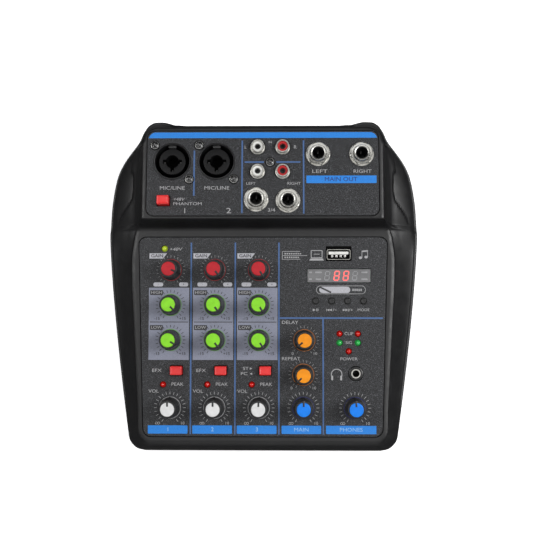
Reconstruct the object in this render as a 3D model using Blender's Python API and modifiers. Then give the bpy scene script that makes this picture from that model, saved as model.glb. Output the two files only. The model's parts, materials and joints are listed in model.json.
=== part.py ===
"""Four-channel desktop mixing console with a raised connector block, modelled as an assembly.

The origin is the centre of the footprint on the table, +Y points to the back and +Z up.
Run it with: blender --background --python part.py
"""

import math

import bmesh
import bpy
import numpy as np
from mathutils import Vector

MM = 0.001

# Driving dimensions, in metres and degrees
HALF_WIDTH = 86.2 * MM
WALL = 2.2 * MM
TOUCH_GAP = 0.3 * MM  # clearance between pieces that rest on each other
COVER_BOTTOM = 3.2 * MM
HOUSING_BOTTOM = 5.0 * MM
CONTROL_SLOPE = math.radians(8.0)
JACK_SLOPE = math.radians(3.2)
PANEL_THICKNESS = 1.2 * MM
RECESS_DEPTH = PANEL_THICKNESS + TOUCH_GAP

# The two panels: the middle of the front edge, the length up the slope and the half widths
CONTROL_FRONT = Vector((0, -83.1, 22.06)) * MM
CONTROL_LENGTH = 109.3 * MM
CONTROL_HALF_FRONT = 65.7 * MM
CONTROL_HALF_BACK = 68.8 * MM
JACK_FRONT = Vector((0, 33.7, 50.5)) * MM
JACK_LENGTH = 47.5 * MM
JACK_HALF = 63.3 * MM
PANEL_CORNER = 4.4 * MM

# Places on the control panel: across, and up the slope from its front edge
COLUMN_PITCH = 24.3 * MM
COLUMNS = [-50.75 * MM + i * COLUMN_PITCH for i in range(5)]
PHONES_X = 50.3 * MM
DELAY_PLACE = (COLUMNS[3] + 0.6 * MM, 52.5 * MM)
ROW_VOLUME, ROW_REPEAT, ROW_LOW, ROW_HIGH, ROW_GAIN = (r * MM for r in (15.7, 33.7, 52.6, 71.8, 91.1))
PEAK_ROW = 28.0 * MM
SWITCH_ROW = 36.0 * MM
SWITCH_SHIFT = 3.5 * MM
PEAK_SHIFT = -3.9 * MM
PHANTOM_LED = (COLUMNS[0] - 3.6 * MM, 102.7 * MM)
METER_X, METER_HALF = 47.1 * MM, 5.0 * MM
METER_ROWS = [46.5 * MM, 51.2 * MM, 56.1 * MM]
MEDIA_X, MEDIA_PITCH, MEDIA_ROW = 42.1 * MM, 8.74 * MM, 74.0 * MM
USB_PLACE = (41.7 * MM, 99.6 * MM)
DISPLAY_PLACE = (41.8 * MM, 87.9 * MM)
DISPLAY_SIZE = (34.6 * MM, 7.3 * MM)
PHONES_PLACE = (50.9 * MM, 34.2 * MM)

# Places on the jack panel
COMBO_PLACES = [(-49.4 * MM, 30.4 * MM), (-25.2 * MM, 30.4 * MM)]
COMBO_SCREW = (9.5 * MM, 9.5 * MM)
COMBO_SCREW_SHIFT = -0.3 * MM
PHANTOM_SWITCH = (-53.8 * MM, 8.3 * MM)
RCA_CENTRE = (4.1 * MM, 31.3 * MM)
RCA_SCREW = (4.1 * MM, 30.1 * MM)
RCA_PITCH = 13.6 * MM
PHONE_JACKS = {
    "stereo_jack_left": (-3.5 * MM, 8.9 * MM),
    "stereo_jack_right": (13.8 * MM, 8.3 * MM),
    "main_jack_left": (30.2 * MM, 34.1 * MM),
    "main_jack_right": (53.8 * MM, 34.1 * MM),
}

# Turning and pressing pieces
KNOB_TOP_RADIUS = 4.7 * MM
KNOB_BASE_RADIUS = 5.8 * MM
KNOB_HEIGHT = 13.0 * MM
KNOB_LIFT = 0.9 * MM
SHAFT_RADIUS = 3.0 * MM
SHAFT_HOLE = 3.9 * MM
SHAFT_DEPTH = 4.2 * MM
SWITCH_CAP = (6.4 * MM, 4.8 * MM)
SWITCH_CAP_TOP = 4.5 * MM
SWITCH_CAP_BOTTOM = 3.8 * MM
SWITCH_TRAVEL = 2.5 * MM
MEDIA_RADIUS = 1.6 * MM
LED_RADIUS = 1.5 * MM

# Boards hang this far under the top face of their panel
MAIN_BOARD_DEPTH = 11.3 * MM
JACK_BOARD_DEPTH = 22.0 * MM
BOARD_THICKNESS = 1.6 * MM

KNOBS = {
    # name: place, and the pointer's angle clockwise from straight back
    "gain_knob_1": ((COLUMNS[0], ROW_GAIN), 112),
    "gain_knob_2": ((COLUMNS[1], ROW_GAIN), 141),
    "gain_knob_3": ((COLUMNS[2], ROW_GAIN), 149),
    "high_knob_1": ((COLUMNS[0], ROW_HIGH), 135),
    "high_knob_2": ((COLUMNS[1], ROW_HIGH), 145),
    "high_knob_3": ((COLUMNS[2], ROW_HIGH), 149),
    "low_knob_1": ((COLUMNS[0], ROW_LOW), 120),
    "low_knob_2": ((COLUMNS[1], ROW_LOW), 143),
    "low_knob_3": ((COLUMNS[2], ROW_LOW), 146),
    "volume_knob_1": ((COLUMNS[0], ROW_VOLUME), 0),
    "volume_knob_2": ((COLUMNS[1], ROW_VOLUME), 0),
    "volume_knob_3": ((COLUMNS[2], ROW_VOLUME), 3),
    "delay_knob": (DELAY_PLACE, -131),
    "repeat_knob": ((COLUMNS[3], ROW_REPEAT), -136),
    "main_knob": ((COLUMNS[3], ROW_VOLUME), 0),
    "phones_knob": ((PHONES_X, ROW_VOLUME), -4),
}
SWITCHES = {
    "effect_switch_1": (COLUMNS[0] + SWITCH_SHIFT, SWITCH_ROW),
    "effect_switch_2": (COLUMNS[1] + SWITCH_SHIFT, SWITCH_ROW),
    "source_switch": (COLUMNS[2] + SWITCH_SHIFT, SWITCH_ROW),
}
MEDIA_BUTTONS = {
    name: (MEDIA_X + (i - 1.5) * MEDIA_PITCH, MEDIA_ROW)
    for i, name in enumerate(("play_button", "back_button", "forward_button", "mode_button"))
}
LEDS = {"phantom_led": PHANTOM_LED}
LEDS.update({f"peak_led_{i + 1}": (COLUMNS[i] + PEAK_SHIFT, PEAK_ROW) for i in range(3)})
METER_LEDS = [(METER_X, METER_ROWS[0])] + [
    (METER_X + side * METER_HALF, row) for row in METER_ROWS[1:] for side in (-1, 1)
]

COLOURS = {
    # name: colour, roughness, metallic
    "housing": ((0.020, 0.020, 0.021), 0.5, 0.0),
    "panel": ((0.035, 0.035, 0.037), 0.6, 0.3),
    "knob": ((0.012, 0.012, 0.012), 0.45, 0.0),
    "red_button": ((0.75, 0.03, 0.03), 0.35, 0.0),
    "board": ((0.02, 0.16, 0.07), 0.5, 0.0),
    "socket": ((0.015, 0.015, 0.015), 0.45, 0.0),
    "steel": ((0.62, 0.61, 0.58), 0.3, 1.0),
    "led_red": ((0.8, 0.02, 0.01), 0.2, 0.0),
    "led_lime": ((0.65, 0.75, 0.05), 0.2, 0.0),
    "rubber": ((0.02, 0.02, 0.02), 0.9, 0.0),
    "cable": ((0.45, 0.45, 0.45), 0.6, 0.0),
    "window": ((0.22, 0.22, 0.23), 0.25, 0.0),
}


# ---------------------------------------------------------------- helpers


def clear_scene():
    for obj in list(bpy.data.objects):
        bpy.data.objects.remove(obj)


def make_collection(name):
    collection = bpy.data.collections.new(name)
    bpy.context.scene.collection.children.link(collection)
    return collection


def material(name):
    found = bpy.data.materials.get(name)
    if found:
        return found
    colour, roughness, metallic = COLOURS[name]
    made = bpy.data.materials.new(name)
    made.use_nodes = True
    shader = made.node_tree.nodes["Principled BSDF"]
    shader.inputs["Base Color"].default_value = (*colour, 1)
    shader.inputs["Roughness"].default_value = roughness
    shader.inputs["Metallic"].default_value = metallic
    return made


def add_object(name, mesh, finish=None, parent=None, place=(0, 0, 0)):
    """A part when it has a finish, and a helper that is cut away or joined on when it has none."""
    obj = bpy.data.objects.new(name, mesh)
    (PARTS if finish else CUTTERS).objects.link(obj)
    obj.location = place
    obj.parent = parent
    if finish:
        if not mesh.materials:
            mesh.materials.append(material(finish))
    else:
        obj.hide_render = True
        obj.display_type = "WIRE"
    return obj


def panel_frame(name, front, slope):
    """An empty whose X and Y lie in a panel's top face and whose Z is the face's normal."""
    empty = bpy.data.objects.new(name, None)
    PARTS.objects.link(empty)
    empty.location = front
    empty.rotation_euler = (slope, 0, 0)
    return empty


def mesh_of(name, build):
    """A mesh that build(bm) fills with closed shapes."""
    bm = bmesh.new()
    build(bm)
    bmesh.ops.recalc_face_normals(bm, faces=bm.faces)
    mesh = bpy.data.meshes.new(name)
    bm.to_mesh(mesh)
    bm.free()
    return mesh


def add_box(bm, centre, size):
    made = bmesh.ops.create_cube(bm, size=1)["verts"]
    bmesh.ops.scale(bm, vec=size, verts=made)
    bmesh.ops.translate(bm, vec=centre, verts=made)


def add_block(bm, place, size, top, bottom):
    """A box over place = (across, along), of size = (width, length), between two heights."""
    add_box(bm, (*place, (top + bottom) / 2), (*size, top - bottom))


def add_cylinder(bm, place, radius, top, bottom, sides=16):
    made = bmesh.ops.create_cone(
        bm, cap_ends=True, segments=sides, radius1=radius, radius2=radius, depth=top - bottom
    )["verts"]
    bmesh.ops.translate(bm, vec=(*place, (top + bottom) / 2), verts=made)


def turned_mesh(name, profile):
    """A profile of (radius, height) from the top of the axis down the outer side, for a Screw modifier."""
    mesh = bpy.data.meshes.new(name)
    points = [(radius, 0, height) for radius, height in profile]
    mesh.from_pydata(points, [(i, i + 1) for i in range(len(points) - 1)], [])
    return mesh


def add_screw(obj, sides):
    turn = obj.modifiers.new("turned", "SCREW")
    turn.steps = turn.render_steps = sides
    turn.use_merge_vertices = True
    turn.merge_threshold = 0.01 * MM
    turn.use_smooth_shade = True
    return obj


def join(obj, helper, operation="DIFFERENCE"):
    boolean = obj.modifiers.new(helper.name, "BOOLEAN")
    boolean.solver = "EXACT"
    boolean.operation = operation
    boolean.object = helper
    return obj


def rounded_outline(corners, radius, steps=5):
    """The points of a convex outline, given anticlockwise, with each corner turned into an arc."""
    points = []
    count = len(corners)
    for i in range(count):
        here = Vector(corners[i])
        before = (Vector(corners[i - 1]) - here).normalized()
        after = (Vector(corners[(i + 1) % count]) - here).normalized()
        half = before.angle(after) / 2
        centre = here + (before + after).normalized() * radius / math.sin(half)
        start = math.atan2(*reversed(here + before * radius / math.tan(half) - centre))
        sweep = math.pi - 2 * half
        for k in range(steps + 1):
            angle = start + sweep * k / steps
            points.append(centre + Vector((math.cos(angle), math.sin(angle))) * radius)
    return points


def plate_mesh(name, outline, top, bottom):
    """A flat outline as a filled 2D curve, extruded between two heights and made a closed mesh."""
    curve = bpy.data.curves.new(name, "CURVE")
    curve.dimensions = "2D"
    curve.fill_mode = "BOTH"
    curve.extrude = (top - bottom) / 2
    spline = curve.splines.new("POLY")
    spline.points.add(len(outline) - 1)
    for point, (x, y) in zip(spline.points, outline):
        point.co = (x, y, 0, 1)
    spline.use_cyclic_u = True
    holder = bpy.data.objects.new(name, curve)
    CUTTERS.objects.link(holder)
    bpy.context.view_layer.update()
    graph = bpy.context.evaluated_depsgraph_get()
    mesh = bpy.data.meshes.new_from_object(holder.evaluated_get(graph))
    bpy.data.objects.remove(holder)
    bm = bmesh.new()
    bm.from_mesh(mesh)
    bmesh.ops.remove_doubles(bm, verts=bm.verts, dist=0.01 * MM)
    bmesh.ops.translate(bm, vec=(0, 0, (top + bottom) / 2), verts=bm.verts)
    bmesh.ops.recalc_face_normals(bm, faces=bm.faces)
    bm.to_mesh(mesh)
    bm.free()
    return mesh


def control_outline(inset):
    front, back = CONTROL_HALF_FRONT - inset, CONTROL_HALF_BACK - inset
    corners = [(-front, inset), (front, inset), (back, CONTROL_LENGTH - inset), (-back, CONTROL_LENGTH - inset)]
    return rounded_outline(corners, PANEL_CORNER - inset / 2)


def jack_outline(inset):
    side, far = JACK_HALF - inset, JACK_LENGTH - inset
    return rounded_outline([(-side, inset), (side, inset), (side, far), (-side, far)], PANEL_CORNER - inset / 2)


# ---------------------------------------------------------------- housing


def control_height(y):
    return CONTROL_FRONT.z + (y - CONTROL_FRONT.y) * math.tan(CONTROL_SLOPE)


def jack_height(y):
    return JACK_FRONT.z + (y - JACK_FRONT.y) * math.tan(JACK_SLOPE)


def side_outline(y):
    """Half the body's width at a depth: it widens in a long curve, then closes in an ogee to the back."""
    widest = 28 * MM
    if y <= widest:
        return HALF_WIDTH - 0.01555 * MM * ((widest - y) / MM) ** 1.409
    shoulder = [(28, 86.2), (43, 85.3), (52, 84.1), (61, 82.1), (68, 78.7), (74, 74.2), (79, 70.0), (84, 67.3)]
    return float(np.interp(y / MM, *zip(*shoulder))) * MM


def block_half_width(y):
    """Half the width of the raised console, which draws in where the jack block begins."""
    control_side = 67.6 * MM + 0.056 * (y + 83 * MM)
    draw_in = [(12, 0.1), (18, 0.6), (22, 1.2), (25.5, 1.8), (28.6, 2.8), (30.2, 3.8), (31.1, 5.0), (32.5, 7.1)]
    return min(control_side, 72.5 * MM) - float(np.interp(y / MM, *zip(*draw_in))) * MM


def arc(centre, radius, start, end, steps):
    turns = [math.radians(start + (end - start) * k / steps) for k in range(steps + 1)]
    return [(centre[0] + radius * math.cos(a), centre[1] + radius * math.sin(a)) for a in turns]


def loop_stations():
    """Right-hand stations from front to back: block edge, outline, edge height, rim height and wing share."""
    stations = []
    front_edge = -85.6 * MM
    block_corner = arc((61.9 * MM, front_edge + 6 * MM), 6 * MM, -90, 0, 4)
    body_corner = arc((64.8 * MM, -80.3 * MM), 10 * MM, -90, 0, 4)
    for step, (edge, outer) in enumerate(zip(block_corner, body_corner)):
        stations.append((edge, outer, control_height(edge[1]), 14.5 * MM, step / 8))
    for y in (-70, -55, -40, -20, 0, 12, 18, 22, 25.5, 28.6):
        y *= MM
        rim = (14.5 + 14.5 * ((y / MM + 90) / 115) ** 1.3) * MM
        share = min(1, 0.5 + (y + 79 * MM) / (40 * MM))
        stations.append(((block_half_width(y), y), (side_outline(y), y), control_height(y), rim, share))
    for y, z in ((30.2, 39.2), (31.1, 42.5), (31.9, 48.8), (32.5, 50.4)):
        y *= MM
        height = min(z * MM, jack_height(y))
        stations.append(((block_half_width(y), y), (side_outline(y), y), height, 29.4 * MM, 1))
    for y, rim in ((42, 31), (52, 32.6), (61, 34), (68, 35.5), (74, 37.5)):
        y *= MM
        stations.append(((65.4 * MM, y), (side_outline(y), y), jack_height(y), rim * MM, 1))
    corner = arc((57.4 * MM, 75.7 * MM), 8 * MM, 15, 90, 3)
    lobe = [(69.6, 79.6), (66.9, 84.9), (63.9, 88.7), (60.2, 90.2)]
    for edge, outer, rim in zip(corner, lobe, (39.5, 41, 42, 42.5)):
        stations.append((edge, (outer[0] * MM, outer[1] * MM), jack_height(edge[1]), rim * MM, 1))
    back = 83.7 * MM
    for edge_x, outer, rim in ((54, (56.4, 90.3), 42.5), (51.6, (52.8, 89.6), 42.5), (49, (49.6, 88.3), 43.5)):
        stations.append(((edge_x * MM, back), (outer[0] * MM, outer[1] * MM), jack_height(back), rim * MM, 1))
    stations.append(((46 * MM, back), (46.2 * MM, 86.4 * MM), jack_height(back), 47.5 * MM, 0.4))
    stations.append(((42 * MM, back), (42 * MM, 85.2 * MM), jack_height(back), 50 * MM, 0))
    return stations


STEP_ROWS = range(14, 19)  # stations from the control panel's back edge up to the jack block's top
OUTER_SHARES = (0, 0.05, 0.12, 0.20, 0.31, 0.43, 0.57, 0.70, 0.82, 0.95, 1.0)


def wing_fall(share, y):
    """How far the arm has fallen at a share of its width: straight beside the controls, a wall first at the jacks."""
    steep = min(max((y / MM - 18) / 14, 0), 1)
    straight = 0.1 * min(share / 0.05, 1) + 0.9 * (1 - (1 - share) ** 1.15)
    walled = float(np.interp(share, (0, 0.06, 0.14, 0.22, 0.38, 0.65, 0.92, 1), (0, 0.14, 0.3, 0.41, 0.52, 0.67, 0.9, 1)))
    return straight + steep * (walled - straight)


def outer_path(station):
    """Points from the block's top edge across the wing and down to the bottom edge.

    Where there is a wing, a rounded edge runs into an arm that falls in a curve to a flat rim.
    Elsewhere the edge is a quarter of an ellipse.
    """
    edge, outer, top, rim, share = station
    edge, outer = Vector(edge), Vector(outer)
    drop = top - 0.9 * MM - rim
    wing = (top, *(top - 0.9 * MM - drop * wing_fall(f / 0.82, outer.y) for f in OUTER_SHARES[1:8]), rim, rim,
            rim - 1.1 * MM)
    if outer.y > 76 * MM:
        wing = (top, top - 0.8 * MM, rim + 0.2 * (top - rim), *(rim + 0.1 * k * MM for k in range(7, 0, -1)),
                rim - 1.1 * MM)
    points = []
    for fraction, wing_height in zip(OUTER_SHARES, wing):
        round_height = rim - 1.1 * MM + (top - rim + 1.1 * MM) * math.sqrt(1 - fraction**2)
        height = share * wing_height + (1 - share) * round_height
        points.append((*edge.lerp(outer, fraction), height))
    inward = (edge - outer).normalized()
    points.append((*(outer + inward * 1.2 * MM), HOUSING_BOTTOM))
    return points


def inner_path(station):
    """The same path on the inside of the wall, without the arm and the rim."""
    edge, outer, top, rim, _ = station
    edge, outer = Vector(edge), Vector(outer)
    outward = (outer - edge).normalized()
    ceiling = rim - 4.2 * MM
    foot = edge.lerp(outer, OUTER_SHARES[2]) - outward * WALL
    return [
        (*(edge - outward * WALL), top - 2.6 * MM),
        (*foot, ceiling + 0.1 * (top - ceiling)),
        (*(foot + outward * 0.6 * MM), ceiling),
        (*(outer - outward * 2.3 * MM), ceiling),
        (*(outer - outward * 3.5 * MM), HOUSING_BOTTOM),
    ]


def housing_mesh():
    stations = loop_stations()
    paths = [outer_path(s) + inner_path(s)[::-1] for s in stations]
    outer_count, ring_count = len(OUTER_SHARES) + 1, len(paths[0])
    bm = bmesh.new()
    right = [[bm.verts.new(p) for p in path] for path in paths]
    left = [[bm.verts.new((-p[0], p[1], p[2])) for p in path] for path in paths]
    loop = right + left[::-1]
    for here, after in zip(loop, loop[1:] + loop[:1]):
        for k in range(ring_count - 1):
            bm.faces.new((here[k], here[k + 1], after[k + 1], after[k]))
    for ring in (0, ring_count - 1):
        rows = [(r[ring], l[ring]) for r, l in zip(right, left)]
        bm.faces.new([pair[0] for pair in rows[:STEP_ROWS[0]]] + [pair[1] for pair in rows[:STEP_ROWS[0]]][::-1])
        for row in range(STEP_ROWS[0] - 1, STEP_ROWS[-1] - 1):
            bm.faces.new((rows[row][0], rows[row + 1][0], rows[row + 1][1], rows[row][1]))
        last = rows[STEP_ROWS[-1] - 1:]
        bm.faces.new([pair[0] for pair in last] + [pair[1] for pair in last][::-1])
    bmesh.ops.triangulate(bm, faces=bm.faces)
    bmesh.ops.recalc_face_normals(bm, faces=bm.faces)
    mesh = bpy.data.meshes.new("top_housing")
    bm.to_mesh(mesh)
    bm.free()
    assert outer_count == len(outer_path(stations[0]))
    return mesh


def bottom_outline(inset):
    """The housing's bottom edge, drawn in by a further inset."""
    right = []
    for edge, outer, *_ in loop_stations():
        inward = (Vector(edge) - Vector(outer)).normalized()
        right.append(Vector(outer) + inward * (1.2 * MM + inset))
    return right + [Vector((-x, y)) for x, y in reversed(right)]


def make_housing():
    housing = add_object("top_housing", housing_mesh(), "housing")
    for frame, outline, name in (
        (CONTROL_FRAME, control_outline, "control"),
        (JACK_FRAME, jack_outline, "jack"),
    ):
        recess = plate_mesh(f"{name}_recess", outline(0), 3 * MM, -RECESS_DEPTH)
        join(housing, add_object(f"{name}_recess", recess, parent=frame))
        opening = plate_mesh(f"{name}_opening", outline(2 * MM), 2 * MM, -4.5 * MM)
        join(housing, add_object(f"{name}_opening", opening, parent=frame))
    rear_slot = mesh_of("usb_b_slot", lambda bm: add_box(bm, USB_B_CENTRE, (13.4 * MM, 12 * MM, 12.6 * MM)))
    join(housing, add_object("usb_b_slot", rear_slot))


FEET = [(sx * x * MM, y * MM) for x, y in ((60, -70), (64, 58)) for sx in (-1, 1)]
COVER_POSTS = [(sx * x * MM, y * MM) for x, y in ((55, -76), (56, 20), (56, 40), (50, 78)) for sx in (-1, 1)]


def board_underside(frame_front, slope, depth, y):
    """Height of a board's lower face at a depth y."""
    drop = (depth + BOARD_THICKNESS) / math.cos(slope)
    return frame_front.z + (y - frame_front.y) * math.tan(slope) - drop


def make_cover():
    floor = COVER_BOTTOM + 1.5 * MM
    cover = add_object("bottom_cover", plate_mesh("bottom_cover", bottom_outline(0), floor, COVER_BOTTOM), "housing")

    def ribs(bm):
        for x, y in COVER_POSTS:
            if y < 30 * MM:
                top = board_underside(CONTROL_FRONT, CONTROL_SLOPE, MAIN_BOARD_DEPTH, y - 3 * MM)
            else:
                top = board_underside(JACK_FRONT, JACK_SLOPE, JACK_BOARD_DEPTH, y - 3 * MM)
            add_cylinder(bm, (x, y), 3 * MM, top - TOUCH_GAP, COVER_BOTTOM + 0.5 * MM, 12)
    join(cover, add_object("cover_posts", mesh_of("cover_posts", ribs)), "UNION")

    def vents(bm):
        for i in range(-3, 4):
            add_box(bm, (i * 9 * MM, -10 * MM, COVER_BOTTOM), (3 * MM, 40 * MM, 8 * MM))
    join(cover, add_object("cover_vents", mesh_of("cover_vents", vents)))


def make_feet():
    top = COVER_BOTTOM - TOUCH_GAP
    profile = [(0, top), (6.5 * MM, top), (6.0 * MM, 0), (2.2 * MM, 0), (2.2 * MM, 1.2 * MM), (0, 1.2 * MM)]
    mesh = turned_mesh("foot", profile)
    for place, name in zip(FEET, ("front_left", "front_right", "back_left", "back_right")):
        add_screw(add_object(f"foot_{name}", mesh, "rubber", place=(*place, 0)), 20)


# ---------------------------------------------------------------- panels and boards


def make_control_panel():
    outline = control_outline(TOUCH_GAP)
    panel = plate_mesh("control_panel", outline, 0, -PANEL_THICKNESS)

    def holes(bm):
        for place, _ in KNOBS.values():
            add_cylinder(bm, place, SHAFT_HOLE, 3 * MM, -4 * MM, 12)
        for place in SWITCHES.values():
            add_block(bm, place, (SWITCH_CAP[0] + 1 * MM, SWITCH_CAP[1] + 1 * MM), 3 * MM, -4 * MM)
        for place in MEDIA_BUTTONS.values():
            add_cylinder(bm, place, 2.1 * MM, 3 * MM, -4 * MM, 12)
        for place in [*LEDS.values(), *METER_LEDS]:
            add_cylinder(bm, place, 1.9 * MM, 3 * MM, -4 * MM, 8)
        add_cylinder(bm, PHONES_PLACE, 4.2 * MM, 3 * MM, -4 * MM, 18)
        add_block(bm, USB_PLACE, (14.3 * MM, 7.2 * MM), 3 * MM, -4 * MM)
        add_block(bm, DISPLAY_PLACE, (DISPLAY_SIZE[0] + 0.6 * MM, DISPLAY_SIZE[1] + 0.6 * MM), 3 * MM, -4 * MM)
    cutter = add_object("control_holes", mesh_of("control_holes", holes), parent=CONTROL_FRAME)
    join(add_object("control_panel", panel, "panel", CONTROL_FRAME), cutter)


def rca_places():
    half = RCA_PITCH / 2
    return [(RCA_CENTRE[0] + sx * half, RCA_CENTRE[1] + sy * half) for sy in (1, -1) for sx in (-1, 1)]


def combo_screw_places():
    """Each combination socket has a screw at its back left and one at its front right."""
    return [(x + s * COMBO_SCREW[0], y + COMBO_SCREW_SHIFT - s * COMBO_SCREW[1]) for x, y in COMBO_PLACES for s in (-1, 1)]


def make_jack_panel():
    panel = plate_mesh("jack_panel", jack_outline(TOUCH_GAP), 0, -PANEL_THICKNESS)

    def holes(bm):
        for place in COMBO_PLACES:
            add_cylinder(bm, place, 10.4 * MM, 3 * MM, -4 * MM, 28)
        for place in [*combo_screw_places(), RCA_SCREW]:
            add_cylinder(bm, place, 1.5 * MM, 3 * MM, -4 * MM, 10)
        for place in rca_places():
            add_cylinder(bm, place, 4.5 * MM, 3 * MM, -4 * MM, 16)
        for place in PHONE_JACKS.values():
            add_cylinder(bm, place, 5.0 * MM, 3 * MM, -4 * MM, 16)
        add_block(bm, PHANTOM_SWITCH, (SWITCH_CAP[0] + 1 * MM, SWITCH_CAP[1] + 1 * MM), 3 * MM, -4 * MM)
    cutter = add_object("jack_holes", mesh_of("jack_holes", holes), parent=JACK_FRAME)
    join(add_object("jack_panel", panel, "panel", JACK_FRAME), cutter)


def make_main_board():
    """The control board, with the bodies of the potentiometers and switches soldered to it."""
    top = -MAIN_BOARD_DEPTH

    def plate(bm):
        length = CONTROL_LENGTH - 9 * MM
        add_block(bm, (0, 4 * MM + length / 2), (122 * MM, length), top, top - BOARD_THICKNESS)

    def components(bm):
        for place, _ in KNOBS.values():
            add_block(bm, place, (9.6 * MM, 10.4 * MM), -SHAFT_DEPTH - 0.6 * MM, top - 0.5 * MM)
        for place in SWITCHES.values():
            body_top = -(SWITCH_CAP_BOTTOM + SWITCH_TRAVEL + 0.5 * MM)
            add_block(bm, place, (8.2 * MM, 7.0 * MM), body_top, top - 0.5 * MM)
        for place in MEDIA_BUTTONS.values():
            add_block(bm, place, (6 * MM, 6 * MM), -8 * MM, top - 0.5 * MM)
    board = add_object("main_board", mesh_of("main_board", plate), "board", CONTROL_FRAME)
    bodies = mesh_of("main_components", components)
    join(board, add_object("main_components", bodies, parent=CONTROL_FRAME), "UNION")


def make_jack_board():
    top = -JACK_BOARD_DEPTH

    def plate(bm):
        add_block(bm, (0, 24.4 * MM), (118 * MM, 44 * MM), top, top - BOARD_THICKNESS)

    def switch_body(bm):
        body_top = -(SWITCH_CAP_BOTTOM + SWITCH_TRAVEL + 0.5 * MM)
        add_block(bm, PHANTOM_SWITCH, (8.2 * MM, 7.0 * MM), body_top, top - 0.5 * MM)
    board = add_object("jack_board", mesh_of("jack_board", plate), "board", JACK_FRAME)
    body = mesh_of("phantom_switch_body", switch_body)
    join(board, add_object("phantom_switch_body", body, parent=JACK_FRAME), "UNION")


def make_ribbon_cable():
    """A flat cable between the boards: an S-shaped strip, seen from the side and extruded across."""
    width, thickness = 24 * MM, 0.9 * MM
    start = Vector((24.2, 22.6)) * MM
    end = Vector((33.6, 27.9)) * MM
    steps = 12
    line = []
    for k in range(steps + 1):
        t = k / steps
        bow = math.sin(math.pi * t) * 2.6 * MM
        line.append(start.lerp(end, t) + Vector((0, -bow)))
    upper, lower = [], []
    for k, point in enumerate(line):
        along = (line[min(k + 1, steps)] - line[max(k - 1, 0)]).normalized()
        across = Vector((-along.y, along.x)) * thickness / 2
        upper.append(point + across)
        lower.append(point - across)
    mesh = plate_mesh("ribbon_cable", lower + upper[::-1], width / 2, -width / 2)
    cable = add_object("ribbon_cable", mesh, "cable", place=(-20 * MM, 0, 0))
    cable.rotation_euler = (math.pi / 2, 0, math.pi / 2)


# ---------------------------------------------------------------- knobs, buttons and lamps


def make_knobs():
    """Tapered knobs with a flat top, each with the end of its potentiometer's shaft."""
    profile = [
        (0, KNOB_HEIGHT), (KNOB_TOP_RADIUS - 0.4 * MM, KNOB_HEIGHT), (KNOB_TOP_RADIUS, KNOB_HEIGHT - 0.4 * MM),
        (4.9 * MM, 4.5 * MM), (KNOB_BASE_RADIUS, 2.6 * MM), (KNOB_BASE_RADIUS, KNOB_LIFT),
        (SHAFT_RADIUS, KNOB_LIFT), (SHAFT_RADIUS, -SHAFT_DEPTH), (0, -SHAFT_DEPTH),
    ]
    mesh = turned_mesh("knob", profile)

    def slot(bm):
        add_box(bm, (0, 3.2 * MM, KNOB_HEIGHT), (1.0 * MM, 3.4 * MM, 1.0 * MM))
    slot_mesh = mesh_of("pointer_slot", slot)
    for name, (place, angle) in KNOBS.items():
        knob = add_screw(add_object(name, mesh, "knob", CONTROL_FRAME, (*place, 0)), 16)
        knob.rotation_euler.z = -math.radians(angle)
        join(knob, add_object(f"{name}_slot", slot_mesh, parent=knob))


def make_switch_caps():
    """Square push caps with rounded edges, which slide through the panel."""
    def cap(bm):
        add_block(bm, (0, 0), SWITCH_CAP, SWITCH_CAP_TOP, -SWITCH_CAP_BOTTOM)
    mesh = mesh_of("switch_cap", cap)
    places = [(name, CONTROL_FRAME, place) for name, place in SWITCHES.items()]
    places.append(("phantom_switch", JACK_FRAME, PHANTOM_SWITCH))
    for name, frame, place in places:
        obj = add_object(name, mesh, "red_button", frame, (*place, 0))
        bevel = obj.modifiers.new("rounded", "BEVEL")
        bevel.width = 0.5 * MM
        bevel.segments = 2


def make_media_buttons():
    profile = [
        (0, 0.5 * MM), (MEDIA_RADIUS - 0.3 * MM, 0.5 * MM), (MEDIA_RADIUS, 0.2 * MM), (MEDIA_RADIUS, -7.2 * MM),
        (0, -7.2 * MM),
    ]
    mesh = turned_mesh("media_button", profile)
    for name, place in MEDIA_BUTTONS.items():
        add_screw(add_object(name, mesh, "knob", CONTROL_FRAME, (*place, 0)), 14)


def led_profile(bottom):
    dome = [(LED_RADIUS * math.sin(a), 0.3 * MM + LED_RADIUS * math.cos(a)) for a in (0.0, 0.55, 1.05, 1.5708)]
    dome[0] = (0, dome[0][1])
    return dome + [(LED_RADIUS, -2.2 * MM), (1.9 * MM, -2.2 * MM), (1.9 * MM, bottom), (0, bottom)]


def make_leds():
    board_top = -MAIN_BOARD_DEPTH + TOUCH_GAP
    mesh = turned_mesh("led", led_profile(board_top))
    for name, place in LEDS.items():
        finish = "led_lime" if name == "phantom_led" else "led_red"
        lamp = add_screw(add_object(name, mesh.copy(), finish, CONTROL_FRAME, (*place, 0)), 12)
        lamp.data.name = name

    def spacer(bm):
        add_block(bm, (METER_X, METER_ROWS[1]), (15 * MM, 14.6 * MM), -4.4 * MM, board_top)

    def lamps(bm):
        for place in METER_LEDS:
            add_cylinder(bm, place, LED_RADIUS, 0.9 * MM, -5 * MM, 10)
            made = bmesh.ops.create_cone(
                bm, cap_ends=True, segments=10, radius1=LED_RADIUS, radius2=0.7 * MM, depth=0.9 * MM
            )["verts"]
            bmesh.ops.translate(bm, vec=(*place, 1.35 * MM), verts=made)
        bmesh.ops.remove_doubles(bm, verts=bm.verts, dist=0.01 * MM)
        inside = [f for f in bm.faces if len(f.verts) > 4 and abs(f.calc_center_median().z - 0.9 * MM) < 0.01 * MM]
        bmesh.ops.delete(bm, geom=inside, context="FACES_ONLY")
    block = add_object("meter_led_block", mesh_of("meter_led_block", spacer), "led_red", CONTROL_FRAME)
    join(block, add_object("meter_lamps", mesh_of("meter_lamps", lamps), parent=CONTROL_FRAME), "UNION")


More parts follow.
